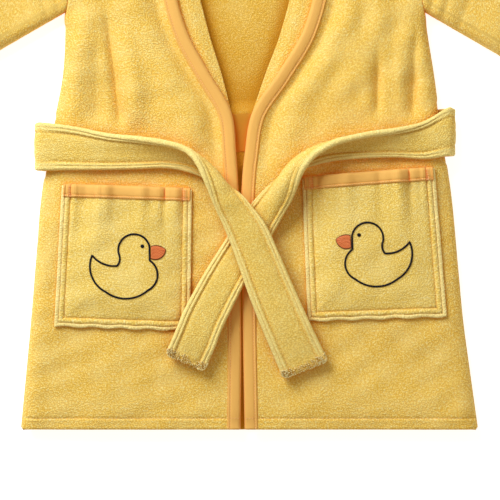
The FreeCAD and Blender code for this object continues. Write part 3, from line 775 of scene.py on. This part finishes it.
def make_pocket_tape(side):
    name = label(side)
    _, height = pocket_sizes(side)
    a = np.linspace(0.012, 0.988, 90)
    path = np.column_stack([pocket_xy(side, a, np.ones_like(a)),
                            pocket_z(side, a, np.full_like(a, 1 - 2 / height))])
    aside = unit(pocket_point(side, a, np.full_like(a, 1 - 8 / height)) - path)
    up = unit(np.cross(np.gradient(path, axis=0), -aside))
    loop = np.array(bound_edge(BINDING)) * (1, 0.86)
    tape = sweep(f"{name}_pocket_tape", path, aside, up, loop, PEACH)
    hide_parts(f"{name}_pocket_binding")
    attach(tape, f"{name}_front")

    lines = [(path + aside * (BINDING - 1.5) + up * 3.0, up)]
    steps = np.linspace(0.5, BINDING + 1, 7)[:, None]
    for share in (0.05, 0.95):       # a bar of zigzag stitches near each end
        i = int(share * len(path))
        along = direction(path)[i]
        zigzag = np.resize((0.4, -0.4), (len(steps), 1)) * along
        for off in (-2.6, -0.9, 0.9, 2.6):
            lines.append((path[i] + along * off + zigzag + aside[i] * steps + up[i] * 3.25, up[i]))
    sewn = stitches(f"{name}_pocket_tape_stitches", lines, PEACH_THREAD, 1.7, 0.8, 0.34)
    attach(sewn, f"{name}_front")


def make_pocket_seams(side):
    """Two rows of stitches round the sides and bottom of a pocket."""
    name = label(side)
    width, height = pocket_sizes(side)
    seams = []
    for inset in (4.0, 9.4):
        left, right, low = inset / width, 1 - inset / width, inset / height
        up, across = np.linspace(low, 1 - 12 / height, 60), np.linspace(left, right, 60)
        for a, b in ((np.full(60, left), up), (np.full(60, right), up), (across, np.full(60, low))):
            seams.append((pocket_point(side, a, b, 1.5), (0, 0, 1)))
    sewn = stitches(f"{name}_pocket_seam", seams, SEWING, 2.2, 1.0, 0.22)
    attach(sewn, f"{name}_front")


# ---------------------------------------------------------------- embroidered ducks

# A plain bath duck, the same as the frame's, facing right about its own middle
DUCK_MIDDLE = {LEFT: (-118.7, 164.0), RIGHT: (130.9, 176.0)}
DUCK_TILT = {LEFT: -1.0, RIGHT: 3.5}
FACE_TOP, FACE_BOTTOM = (23.0, 20.0), (23.5, 6.0)
# Arcs of the outline, each as its middle and its end, from the top of the face round the head and back
DUCK_ARCS = [((8.0, 32.0), (-7.5, 12.0)), ((-6.5, 5.0), (-9.0, 0.0)), ((-22.0, 1.5), (-34.0, 10.0)),
             ((-34.0, -11.0), (-20.0, -26.0)), ((0.0, -32.5), (22.0, -24.0)), ((31.5, -10.0), FACE_BOTTOM)]
BEAK_TIP = (39.0, 16.5)
BEAK_UPPER, BEAK_LOWER = ((24.7, 20.0), (32.0, 20.6)), ((24.7, 8.0), (34.0, 8.5))   # root and middle
DUCK_EYE, EYE_SIZE = (16.0, 20.0), 1.9


def arc_points(start, middle, end, count=22):
    """Points on the circle through three points."""
    (ax, ay), (bx, by), (cx, cy) = start, middle, end
    d = 2 * (ax * (by - cy) + bx * (cy - ay) + cx * (ay - by))
    sa, sb, sc = ax * ax + ay * ay, bx * bx + by * by, cx * cx + cy * cy
    ox = (sa * (by - cy) + sb * (cy - ay) + sc * (ay - by)) / d
    oy = (sa * (cx - bx) + sb * (ax - cx) + sc * (bx - ax)) / d
    radius = math.hypot(ax - ox, ay - oy)
    turns = [math.atan2(y - oy, x - ox) for x, y in (start, middle, end)]
    total = (turns[2] - turns[0]) % (2 * math.pi)
    if (turns[1] - turns[0]) % (2 * math.pi) > total:
        total -= 2 * math.pi
    at = turns[0] + np.linspace(0, total, count)
    return np.stack([ox + radius * np.cos(at), oy + radius * np.sin(at)], 1)


def on_pocket(side, flat, lift):
    """Lays flat points of the duck on the pocket's cloth, mirrored for the right-hand pocket."""
    middle = np.array(DUCK_MIDDLE[side])
    turn = math.radians(DUCK_TILT[side])
    local = np.asarray(flat, float) * np.array([-side, 1.0])
    local = np.stack([local[..., 0] * math.cos(turn) - local[..., 1] * math.sin(turn),
                      local[..., 0] * math.sin(turn) + local[..., 1] * math.cos(turn)], -1) + middle
    tl, tr, br, bl = (np.array(c, float) for c in POCKETS[side])
    b = (local[..., 1] - (bl[1] + br[1]) / 2) / ((tl[1] + tr[1] - bl[1] - br[1]) / 2)
    left = bl[0] + (tl[0] - bl[0]) * b
    right = br[0] + (tr[0] - br[0]) * b
    a = (local[..., 0] - left) / (right - left)
    z = pocket_z(side, a, b) + POCKET_CLOTH / 2 + lift
    return np.concatenate([local, z[..., None]], -1)


def satin_line(name, side, flat, radius, material, pitch=0.85, lift=0.25):
    """A raised satin-stitched line: a round thread ribbed along its length."""
    line, at = resample(on_pocket(side, flat, lift), 0.22)
    up = everywhere((0.0, 0.0, 1.0), line)
    aside = unit(np.cross(direction(line), up))
    ring = np.linspace(0, 2 * math.pi, 9, endpoint=False)
    size = radius * (1 + 0.13 * np.sin(2 * math.pi * at / pitch))[:, None, None]
    loop = np.stack([np.cos(ring), np.sin(ring) * 0.8], 1)[None] * size
    return sweep(name, line, aside, up, loop, material)


def make_duck(side):
    name = label(side)
    start, rows = FACE_TOP, []
    for middle, end in DUCK_ARCS:
        rows.append(arc_points(start, middle, end))
        start = end
    rows.append(np.linspace(FACE_BOTTOM, FACE_TOP, 12))
    outline = satin_line(f"{name}_duck_line", side, np.vstack(rows), 0.98, DARK_THREAD)
    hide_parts(f"{name}_duck_outline")
    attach(outline, f"{name}_front")

    ring, turn = np.meshgrid(np.linspace(0.02, 1, 7), np.linspace(0, 2 * math.pi, 26), indexing="ij")
    across, up = EYE_SIZE * ring * np.cos(turn), EYE_SIZE * ring * np.sin(turn)
    dome = on_pocket(side, np.stack([DUCK_EYE[0] + across, DUCK_EYE[1] + up], -1), 0.3)
    dome[..., 2] += 0.75 * np.sqrt(1 - 0.98 * ring ** 2) - 0.3
    eye = cloth(f"{name}_duck_eye_dome", dome, DARK_THREAD, thick=0.5, pile=0.03, flip=side == RIGHT)
    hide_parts(f"{name}_duck_eye")
    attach(eye, f"{name}_front")

    blunt = np.array((0.0, 0.35))
    upper = arc_points(*BEAK_UPPER, BEAK_TIP + blunt, 40)
    lower = arc_points(*BEAK_LOWER, BEAK_TIP - blunt, 40)
    s, _ = np.meshgrid(spaced(16, 0.35), np.linspace(0, 1, len(upper)), indexing="ij")
    fill = lower[None] * (1 - s[..., None]) + upper[None] * s[..., None]
    patch = on_pocket(side, fill, 0.25)
    ribs = 0.16 * np.sin(2 * math.pi * (fill[..., 0] * 0.5 + fill[..., 1] * 0.87) / 0.95)
    patch[..., 2] += 0.55 * np.sqrt(np.clip(1 - (2 * s - 1) ** 2, 0, 1)) + ribs
    beak = cloth(f"{name}_duck_beak_satin", patch, CORAL_THREAD, thick=0.9, pile=0.05, flip=side == LEFT)
    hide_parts(f"{name}_duck_beak")
    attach(beak, f"{name}_front")
    rim = np.vstack([lower, upper[::-1]])
    edge = satin_line(f"{name}_duck_beak_edge", side, rim, 0.5, RUST_THREAD, pitch=1.1, lift=0.55)
    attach(edge, f"{name}_front")


# ---------------------------------------------------------------- belt

BEND_X, BEND_Z, BEND_R = 198.5, 14.0, 10.0      # middle and radius of its turn round the side
# Each row: x, y, z of the edge that is uppermost along the waist, x, y, z of the other edge, and how far
# the middle of the belt hangs behind both. The right-hand end is drawn on the left as well.
LEFT_ROUTE = [(-170, 303.5, 26, -172, 259.5, 24.5, 1), (-137, 296.3, 32, -137, 259.7, 25, 3),
              (-107, 292.3, 39, -107, 260.5, 25.5, 5), (-81, 287.5, 44, -84, 261.4, 26, 7),
              (-62, 281, 48, -68, 260, 26, 9), (-52.5, 272.5, 51, -56, 257, 26, 11),
              (-46, 261, 52, -47, 254, 25.5, 12), (-41.5, 249.8, 51, -36, 249.5, 25.5, 12),
              (-37.5, 240, 48, -24, 244, 26.5, 11), (-34, 231.3, 45, -12, 238, 28, 9),
              (-29, 220, 42, -2, 232, 34, 6), (-24.1, 209.6, 40, 7, 223, 36.5, 3.5),
              (-15.4, 188.9, 38, 21, 205, 38.5, 2.5), (-6, 163, 37.5, 34, 177, 37, 1.5),
              (5, 131.3, 37, 46, 149.5, 36, 0.5), (21, 91.5, 34, 63.5, 110.5, 34, 0.5),
              (38.5, 51.0, 27.5, 83.5, 69.0, 27.5, 0)]
RIGHT_ROUTE = [(-178, 308.5, 27, -180, 270.5, 24.5, 1), (-149.8, 300.7, 38, -149.8, 272, 25, 4),
               (-124.3, 295.6, 44, -120, 271.2, 26, 7), (-96.2, 287.9, 48, -96, 269.4, 26.5, 10),
               (-81, 280.5, 50.5, -82, 267.3, 26, 11), (-70, 272.5, 52, -71, 264.5, 25.5, 12),
               (-62, 263, 51.5, -58, 260.5, 25.5, 12), (-56, 251.6, 47, -44, 253.5, 25.5, 12),
               (-51.5, 240, 42, -33, 248, 26, 11), (-46.5, 229, 37, -23, 241.5, 26, 8),
               (-40, 217.5, 32.5, -12.5, 232.5, 26, 5), (-33, 205, 29.5, -3, 222, 26, 3),
               (-23, 187, 27, 12, 202, 26, 1.5), (-11, 166, 27, 27, 179, 27, 0.5),
               (4, 139, 31.5, 42, 155, 32, 0), (21, 104.5, 33.5, 60, 122, 34.5, 0),
               (30, 82, 33, 70, 98, 34, 0), (40.5, 59, 28, 79.5, 76, 28, 0)]
BELT_Y = {LEFT: 283.5, RIGHT: 298.0}
BEND_HALF = 24.0         # the belt spreads a little where it turns over each side
BELT_CORNER = 5.5        # radius of the corners of its ends
BELT_SEAM = 8.3          # from its edges to its stitches


def belt_stations(side):
    """Rows of both edges and the cup, from the middle of the back, round the side, to the tail."""
    y, half = BELT_Y[side], BELT / 2
    rows = []
    for x in (0, -60, -120, -170):
        mid = CENTRE_BACK_Y + (y - CENTRE_BACK_Y) * abs(x) / BEND_X
        rows.append((x, mid + half, 4, x, mid - half, 4, 0))
    for degrees in (-90, -50, -10, 30, 70):
        turn = math.radians(degrees)
        x, z = -BEND_X - BEND_R * math.cos(turn), BEND_Z + BEND_R * math.sin(turn)
        rows.append((x, y + BEND_HALF, z, x, y - BEND_HALF, z, 0))
    return rows + (LEFT_ROUTE if side == LEFT else RIGHT_ROUTE)


def belt_grid(side):
    """The belt's grid, its columns from edge to edge, its rows' places along it and its length."""
    rows = belt_stations(side)
    dense = through(rows, np.linspace(0, len(rows) - 1, 40 * len(rows)))
    length = distances((dense[:, 0:3] + dense[:, 3:6]) / 2)
    at = np.concatenate([np.arange(0, length[-1] - 4, 1.7), length[-1] - np.array([3.2, 2.0, 1.0, 0.4, 0])])
    columns = [0, 0.45, 1.1, 2.0, 3.0, 3.7, 4.1, 4.6, 5.4, 6.4, 7.2, 7.8, 8.3, 8.9, 9.8]
    columns = np.array(columns + list(np.linspace(11.6, BELT / 2, 6)))
    columns = np.concatenate([columns, BELT - columns[:-1][::-1]])
    rounded = np.clip(BELT_CORNER - np.minimum(columns, BELT - columns), 0, BELT_CORNER)
    pull = BELT_CORNER - np.sqrt(BELT_CORNER ** 2 - rounded ** 2)
    pull = pull[None, :] * smooth(at, length[-1] - 14, length[-1])[:, None]
    along = np.clip(at[:, None] - pull, 0, length[-1])
    station = np.stack([np.interp(along, length, column) for column in dense.T], -1)
    w = (columns / BELT)[None, :, None]
    top, other, cup = station[..., 0:3], station[..., 3:6], station[..., 6:7]
    run = direction(top + other)
    normal = unit(np.cross(run, top - other))
    grid = top + (other - top) * w - normal * 4 * cup * w * (1 - w)
    return grid, columns, at, length[-1]


def make_belt(side):
    name = label(side)
    grid, columns, at, length = belt_grid(side)
    inset = np.minimum(columns, BELT - columns)
    ridges = 1.9 * bump(inset, 2.2, 1.9) - 0.9 * bump(inset, 4.1, 0.5) + 2.2 * bump(inset, 5.9, 1.3)
    ridges = ridges - 1.8 * bump(inset, 8.4, 0.9)
    turning = smooth(-grid[..., 0], BEND_X - 16, BEND_X + 2)
    wobble = 1 + 0.05 * swell(at[:, None], columns[None], 22, 70 + side)
    thick = (4.4 + 1.4 * smooth(inset, 9, 15))[None, :] * wobble + ridges[None, :] * (1 - 0.8 * turning)
    thick = thick * (1 - 0.25 * smooth(at, length - 9, length))[:, None]
    fuzz = 2.4 * smooth(at, length - 9, length - 5)[:, None] * np.ones_like(columns)[None]
    grid = mirror(grid, -side)
    piece = cloth(f"{name}_belt_strip", grid, BELT_TERRY, thick=thick, seed=71 + side, flip=side == LEFT,
                  rough=fuzz, pile=0.24, fit=(None, BELT))
    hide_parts(*(["belt_back"] if side == LEFT else []), f"{name}_belt_end")
    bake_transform(piece)

    normal = unit(np.cross(np.gradient(grid, axis=0), np.gradient(grid, axis=1))) * side
    lines = []
    last = int(np.searchsorted(at, length - 7))
    for column in (BELT_SEAM, BELT - BELT_SEAM):
        k = int(np.argmin(np.abs(columns - column)))
        for sign in (1, -1):
            out = normal[:last, k] * sign
            lines.append((grid[:last, k] + out * (thick[:last, k, None] / 2 - 0.15), out))
    sewn = stitches(f"{name}_belt_stitches", lines, SEWING, 2.4, 1.2, 0.3)
    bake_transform(sewn)
    make_tail_loops(side, grid, columns, at, length, normal, thick)


def make_tail_loops(side, grid, columns, at, length, normal, thick):
    """Loose loops of pile in a band at the end of the belt, more of them near the end itself."""
    name = label(side)
    loops, rings, band, radius = 640, 6, 8.5, 0.27
    rng = np.random.default_rng(90 + side)
    points, faces, uv = [], [], []
    ring = round_turns(4)
    for _ in range(loops):
        i = int(np.argmin(np.abs(at - length + band * rng.uniform() ** 1.3)))
        i, k = min(i, len(at) - 2), rng.integers(1, len(columns) - 1)
        out = normal[i, k] * rng.choice((1, 1, -1))
        spread = unit(rng.normal(size=3))
        spread = unit(spread - out * (spread @ out))
        foot = grid[i, k] + out * (thick[i, k] / 2 - 0.6)
        tall, wide = rng.uniform(1.7, 3.0), rng.uniform(0.6, 1.2)
        faces += tube_faces(len(points), rings, len(ring))
        for f in np.linspace(0, 1, rings):
            spot = foot + spread * wide * (2 * f - 1) + out * tall * math.sin(math.pi * f)
            along = unit(spread * 2 * wide + out * tall * math.pi * math.cos(math.pi * f))
            a = unit(np.cross(along, out + 0.01))
            b = np.cross(along, a)
            for turn in ring:
                points.append(spot + (a * math.cos(turn) + b * math.sin(turn)) * radius)
                uv.append((f * 4, turn))
    piece = place(f"{name}_belt_end_loops", points, faces, uv, LOOSE_PILE)
    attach(piece, f"{name}_belt")


# ---------------------------------------------------------------- sleeves

CUFF_LIFT = 1.9          # the cuff's tape lies under the cloth, which rises to make room for it
CUFF, CUFF_SEAM = 14.0, 11.7     # the cuff's width, and where its stitches are
# Corners of the sleeve at the robe and at the cuff
SLEEVE_TOP = ((165.5, 548.0), (360.4, 435.5))
SLEEVE_LOW = ((178.5, 420.0), (307.9, 344.6))
SLEEVE_LENGTH = 225.0
SLEEVE_FOLDS = [(14, 1.8), (38, 1.5), (70, 1.0)]     # place and depth


def sleeve_ring(v):
    """The middle of the sleeve's cloth all round it, at a share of its length."""
    top, low = ((np.array(a) * (1 - v) + np.array(b) * v) for a, b in (SLEEVE_TOP, SLEEVE_LOW))
    across = unit(top - low)
    top, low = top - across * CLOTH / 2, low + across * CLOTH / 2
    radius = (FRONT_Z - BACK_Z) / 2
    turns = np.linspace(0, math.pi, 11)
    flat = np.linspace(0, 1, 34)[1:-1, None]
    a, b = top - across * radius, low + across * radius
    upper = np.column_stack([b + (a - b) * flat, np.full(len(flat), FRONT_Z)])
    lower = np.column_stack([a + (b - a) * flat, np.full(len(flat), BACK_Z)])
    ends = []
    for middle, sign in ((a, 1), (b, -1)):
        arc = [np.append(middle + across * sign * radius * math.sin(t), SEAM_Z + sign * radius * math.cos(t))
               for t in turns]
        ends.append(np.array(arc))
    return np.vstack([upper, ends[0], lower, ends[1]])


def sleeve_blend(piece):
    """Bakes the piece's transform into its mesh."""
    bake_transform(piece)


def make_sleeve(side):
    name = label(side)
    shares = spaced(SLEEVE_LENGTH, 2.6)
    grid = np.stack([sleeve_ring(v) for v in shares], 1)
    on_top = smooth(grid[..., 2], SEAM_Z, FRONT_Z)
    wave = swell(grid[..., 0], grid[..., 1], 60, 80 + side) * 1.6 * on_top
    down = shares * SLEEVE_LENGTH
    slanted = down - 0.5 * (grid[..., 1] - ARMPIT[1])
    fold = sum(-depth * bump(slanted, middle, 7) for middle, depth in SLEEVE_FOLDS)
    grid[..., 2] += wave + fold * on_top + CUFF_LIFT * smooth(down, 180, 206) * (1 - on_top)
    grid = mirror(grid, side)
    piece = cloth(f"{name}_sleeve_cloth", grid, TERRY, seed=81 + side, flip=side == LEFT, wrap=True)
    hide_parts(f"{name}_sleeve")
    sleeve_blend(piece)
    make_cuff(side)


def make_cuff(side):
    name = label(side)
    ring = sleeve_ring(1.0)
    before = sleeve_ring(0.97)
    ring[:, 2] += CUFF_LIFT * (1 - smooth(ring[:, 2], SEAM_Z, FRONT_Z))
    aside = everywhere(unit((before - ring).mean(0) * (1, 1, 0)), ring)
    around = np.roll(ring, -1, 0) - np.roll(ring, 1, 0)
    up = unit(np.cross(around, aside))
    up = up * np.sign(np.einsum("ij,ij->i", up, ring - ring.mean(0)))[:, None]
    path, aside, up = mirror(ring, side), mirror(aside, side), mirror(up, side)
    band = sweep(f"{name}_cuff_tape", path, aside, up, bound_edge(CUFF), PEACH, closed=True)
    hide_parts(f"{name}_cuff_band")
    sleeve_blend(band)
    seam = path + aside * CUFF_SEAM + up * 2.9
    lines = [(np.vstack([seam, seam[:1]]), np.vstack([up, up[:1]]))]
    sewn = stitches(f"{name}_cuff_stitches", lines, PEACH_THREAD, *TAPE_STITCH)
    sleeve_blend(sewn)


# ---------------------------------------------------------------- hood

HOOD_LOW = 560.6
HOOD_SIDE = [(84, HOOD_LOW), (116, 610), (128, 680), (112, 750), (66, 802), (0, 818)]
HOOD_OPENING = [(72, HOOD_LOW), (80, 620), (80, 690), (52, 755), (0, 780)]
HOOD_OVERLAP = 0.8       # how far each half goes past the middle, in the seam


def half_curve(points, count):
    """Even points along the right-hand half of a curve that is the same on both sides."""
    rows = points + [(-x, y) for x, y in points[-2::-1]]
    line = through(rows, np.linspace(0, len(points) - 1, 200))
    line, _ = resample(line, 1.0)
    at = np.linspace(0, len(line) - 1, count)
    return np.stack([np.interp(at, np.arange(len(line)), line[:, k]) for k in (0, 1)], 1)


def hood_blend(piece):
    """Bakes the piece's transform into its mesh."""
    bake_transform(piece)


def make_hood(side):
    name = label(side)
    count = 110
    outline, opening = half_curve(HOOD_SIDE, count), half_curve(HOOD_OPENING, count)
    spine = np.stack([np.zeros(count), np.linspace(HOOD_LOW, 782, count)], 1)
    radius = (FRONT_Z - BACK_Z) / 2
    rows = []
    for outer, inner, centre in zip(outline, opening, spine):
        away = unit(outer - centre)
        turn = outer - away * (radius + CLOTH / 2)
        back = [np.append(centre + (turn - centre) * f, BACK_Z) for f in np.linspace(0, 1, 44)]
        arc = [np.append(turn + away * radius * math.sin(t), SEAM_Z - radius * math.cos(t))
               for t in np.linspace(0, math.pi, 13)[1:-1]]
        front = [np.append(turn + (inner - turn) * f, FRONT_Z) for f in np.linspace(0, 1, 26)]
        rows.append(back + arc + front)
    grid = np.array(rows).transpose(1, 0, 2)
    on_top = smooth(grid[..., 2], SEAM_Z, FRONT_Z)
    grid[..., 2] += on_top * 1.4 * swell(grid[..., 0] * side, grid[..., 1], 70, 100)
    grid[0, :, 0] = -HOOD_OVERLAP
    grid[..., 0] = np.maximum(grid[..., 0], -HOOD_OVERLAP)
    grid = mirror(grid, side)
    piece = cloth(f"{name}_hood_cloth", grid, TERRY, seed=101 + side, flip=side == RIGHT)
    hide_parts(f"{name}_hood_side")
    hood_blend(piece)


def make_hood_tape():
    right = half_curve(HOOD_OPENING, 150)
    line = np.vstack([right, right[-2::-1] * (-1, 1)])
    path = np.column_stack([line, np.full(len(line), FRONT_Z)])
    path[:, 2] += 1.4 * swell(path[:, 0], path[:, 1], 70, 100)
    up = everywhere((0.0, 0.0, 1.0), path)
    aside = unit(np.cross(direction(path), up))
    piece = sweep("hood_tape", path, aside, up, bound_edge(BINDING), PEACH)
    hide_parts("hood_binding")
    hood_blend(piece)
    seam = path + aside * (BINDING - BINDING_SEAM) + up * 2.9
    sewn = stitches("hood_tape_stitches", [(seam, up)], PEACH_THREAD, *TAPE_STITCH)
    hood_blend(sewn)


# ---------------------------------------------------------------- tapes and label inside the back

def flat_tape(name, node_name, corners, thick, material, lift=0.6, step=2.0):
    """A thin flat tape over four corners, lying on the inside of the back."""
    tl, tr, _, bl = (np.array(c, float) for c in corners)
    wide, tall = np.linalg.norm(tr - tl), np.linalg.norm(tl - bl)
    a, b = np.meshgrid(spaced(wide, step, (0, 0.2, 0.6)), spaced(tall, step, (0, 0.2, 0.6)), indexing="ij")
    xy = between_corners(corners, a, b)
    z = back_z(xy[..., 0], xy[..., 1]) + CLOTH / 2 + lift
    grid = np.concatenate([xy, z[..., None]], -1)
    piece = cloth(name, grid, material, thick=thick, pile=0.03, seed=3)
    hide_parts(node_name)
    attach(piece, "robe")


def block(half_width, top, bottom):
    """Corners of a rectangle about the middle."""
    return [(-half_width, top), (half_width, top), (half_width, bottom), (-half_width, bottom)]


TAPE_OUTLINE = [(-5, 0.3), (-4.6, 0.7), (4.6, 0.7), (5, 0.3), (5, -0.3), (4.6, -0.7), (-4.6, -0.7),
                (-5, -0.3)]


def make_tapes():
    """The waist tape, the neck tape and the blank label."""
    half, reach, above_belt = 19.0, 174.0, 6
    left_y, right_y = belt_line(-reach) + above_belt, belt_line(reach) + above_belt
    corners = [(-reach, left_y + half), (reach, right_y + half), (reach, right_y - half),
               (-reach, left_y - half)]
    flat_tape("waist_tape_inside", "back_waist_tape", corners, 1.0, TAPE, step=3)
    flat_tape("neck_tape_inside", "neck_tape", block(75, 558, 548), 1.2, TAPE)
    flat_tape("care_label", "neck_label", block(17, 548, 512), 0.8, LABEL, lift=0.5)


def make_hanger():
    """A loop of tape sewn down at both ends, below the neck."""
    base, top = 5.4, 13.6
    bridge = [(-30, base), (-24, base + 0.6), (-20, top - 1.5), (-14, top), (0, top + 0.3), (14, top),
              (20, top - 1.5), (24, base + 0.6), (30, base)]
    line = through(bridge, np.linspace(0, len(bridge) - 1, 80))
    path = np.column_stack([line[:, 0], np.full(len(line), 553.0), line[:, 1]])
    aside = everywhere((0.0, 1.0, 0.0), path)
    up = unit(np.cross(direction(path), aside))
    hanger = sweep("hanger_loop", path, aside, up, TAPE_OUTLINE, TAPE)
    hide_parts("hanging_loop")
    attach(hanger, "robe")


def make_belt_carrier(side):
    """A loop of tape round the belt, behind the back."""
    x = side * 178.0
    y, half = belt_line(x), BELT / 2 + 1.6
    rows = [(y - half, 6.6), (y - half - 0.4, 3.5), (y - half + 2, 0.9), (y, 0.55), (y + half - 2, 0.9),
            (y + half + 0.4, 3.5), (y + half, 6.6)]
    line = through(rows, np.linspace(0, len(rows) - 1, 60))
    path = np.column_stack([np.full(len(line), x), line])
    aside = everywhere((1.0, 0.0, 0.0), path)
    up = unit(np.cross(aside, direction(path)))
    outline = np.array(TAPE_OUTLINE) * (1.1, 0.7)
    carrier = sweep(f"{label(side)}_belt_carrier", path, aside, up, outline, TAPE)
    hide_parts(f"{label(side)}_belt_loop")
    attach(carrier, "robe")


def make_hem_stitches(side):
    x = np.linspace(edge_of(side, 0) + side * 14, side * (HEM_X - 8), 90)
    y = np.full_like(x, HEM_BAND + 0.4)
    line = np.column_stack([x, y, front_z(side, x, y) + CLOTH / 2 - 0.45])
    sewn = stitches(f"{label(side)}_hem_stitches", [(line, (0, 0, 1))], SEWING, 2.4, 1.2, 0.32)
    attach(sewn, f"{label(side)}_front")


def make_side_seam(side):
    """The seam that joins a front to the back."""
    y = np.linspace(2, ARMPIT[1] + 3, 160)
    path = np.column_stack([side * (outer_x(side, y) - CLOTH / 2), y, np.full_like(y, SEAM_Z)])
    turn = np.radians(np.linspace(-80, 80, 13))
    arc = np.column_stack([np.cos(turn), np.sin(turn)])
    under_belt, near_armpit = smooth(np.abs(y - BELT_Y[side]), 34, 27), smooth(y, ARMPIT[1] - 20, ARMPIT[1])
    size = (1 - 0.65 * under_belt) * (1 - 0.2 * near_armpit)     # slimmer in both places
    loop = np.vstack([arc * 2.6, arc[::-1] * 1.9])[None] * size[:, None, None]
    aside, up = everywhere((float(side), 0.0, 0.0), path), everywhere((0.0, 0.0, 1.0), path)
    piece = sweep(f"{label(side)}_side_seam", path, aside, up, loop, TERRY)
    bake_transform(piece)


make_back()
for side in (LEFT, RIGHT):
    make_front(side)
    make_binding(side)
    make_facing(side)
    make_pocket(side)
    make_duck(side)
    make_belt(side)
    make_sleeve(side)
    make_hood(side)
    make_hem_stitches(side)
    make_side_seam(side)
make_hood_tape()
make_tapes()
make_hanger()
for side in (LEFT, RIGHT):
    make_belt_carrier(side)


# ---------------------------------------------------------------- floor, light and camera

def plain(name, colour, glow):
    """A plain material that also glows white."""
    material, _, shader = nodes_of(name)
    set_inputs(shader, {"Base Color": colour + (1.0,), "Roughness": 0.9, "Specular IOR Level": 0.0,
                        "Emission Color": (1.0, 1.0, 1.0, 1.0), "Emission Strength": glow})
    return material


bpy.ops.mesh.primitive_plane_add(size=12, location=(0, 0, -0.0006))
floor = bpy.context.object
floor.name = "floor"
floor.data.materials.append(plain("floor_white", (0.70, 0.70, 0.70), 0.80))


def area_light(name, place_at, target, size, power, colour):
    data = bpy.data.lights.new(name, "AREA")
    data.shape = "SQUARE"
    data.size = size
    data.energy = power
    data.color = colour
    lamp = bpy.data.objects.new(name, data)
    lamp.location = place_at
    lamp.rotation_euler = (Vector(target) - Vector(place_at)).to_track_quat("-Z", "Y").to_euler()
    bpy.context.scene.collection.objects.link(lamp)


area_light("key", (-1.05, 1.25, 1.3), (0, -0.1, 0), 1.3, 62, (0.88, 0.965, 1.0))
area_light("fill", (0.9, -0.9, 1.9), (0, -0.1, 0), 1.6, 5, (1.0, 0.93, 0.8))
world = bpy.data.worlds.new("studio")
world.use_nodes = True
world.node_tree.nodes["Background"].inputs["Color"].default_value = (1.0, 0.88, 0.62, 1.0)
world.node_tree.nodes["Background"].inputs["Strength"].default_value = 0.34
scene = bpy.context.scene
scene.world = world
scene.view_settings.view_transform = "Standard"
scene.view_settings.look = "None"
# Enough bounces for light to reach into the gaps between the fronts
scene.cycles.max_bounces = 10
scene.cycles.diffuse_bounces = 8

SEEN = 0.500             # width of the picture at the height of the fronts
LENS, SENSOR = 200.0, 36.0
eye = bpy.data.cameras.new("camera")
eye.sensor_width = SENSOR
eye.lens = LENS
eye.clip_end = 20.0
camera = bpy.data.objects.new("camera", eye)
camera.location = (0.005, -0.229, 0.022 + SEEN * LENS / SENSOR)
scene.collection.objects.link(camera)
scene.camera = camera
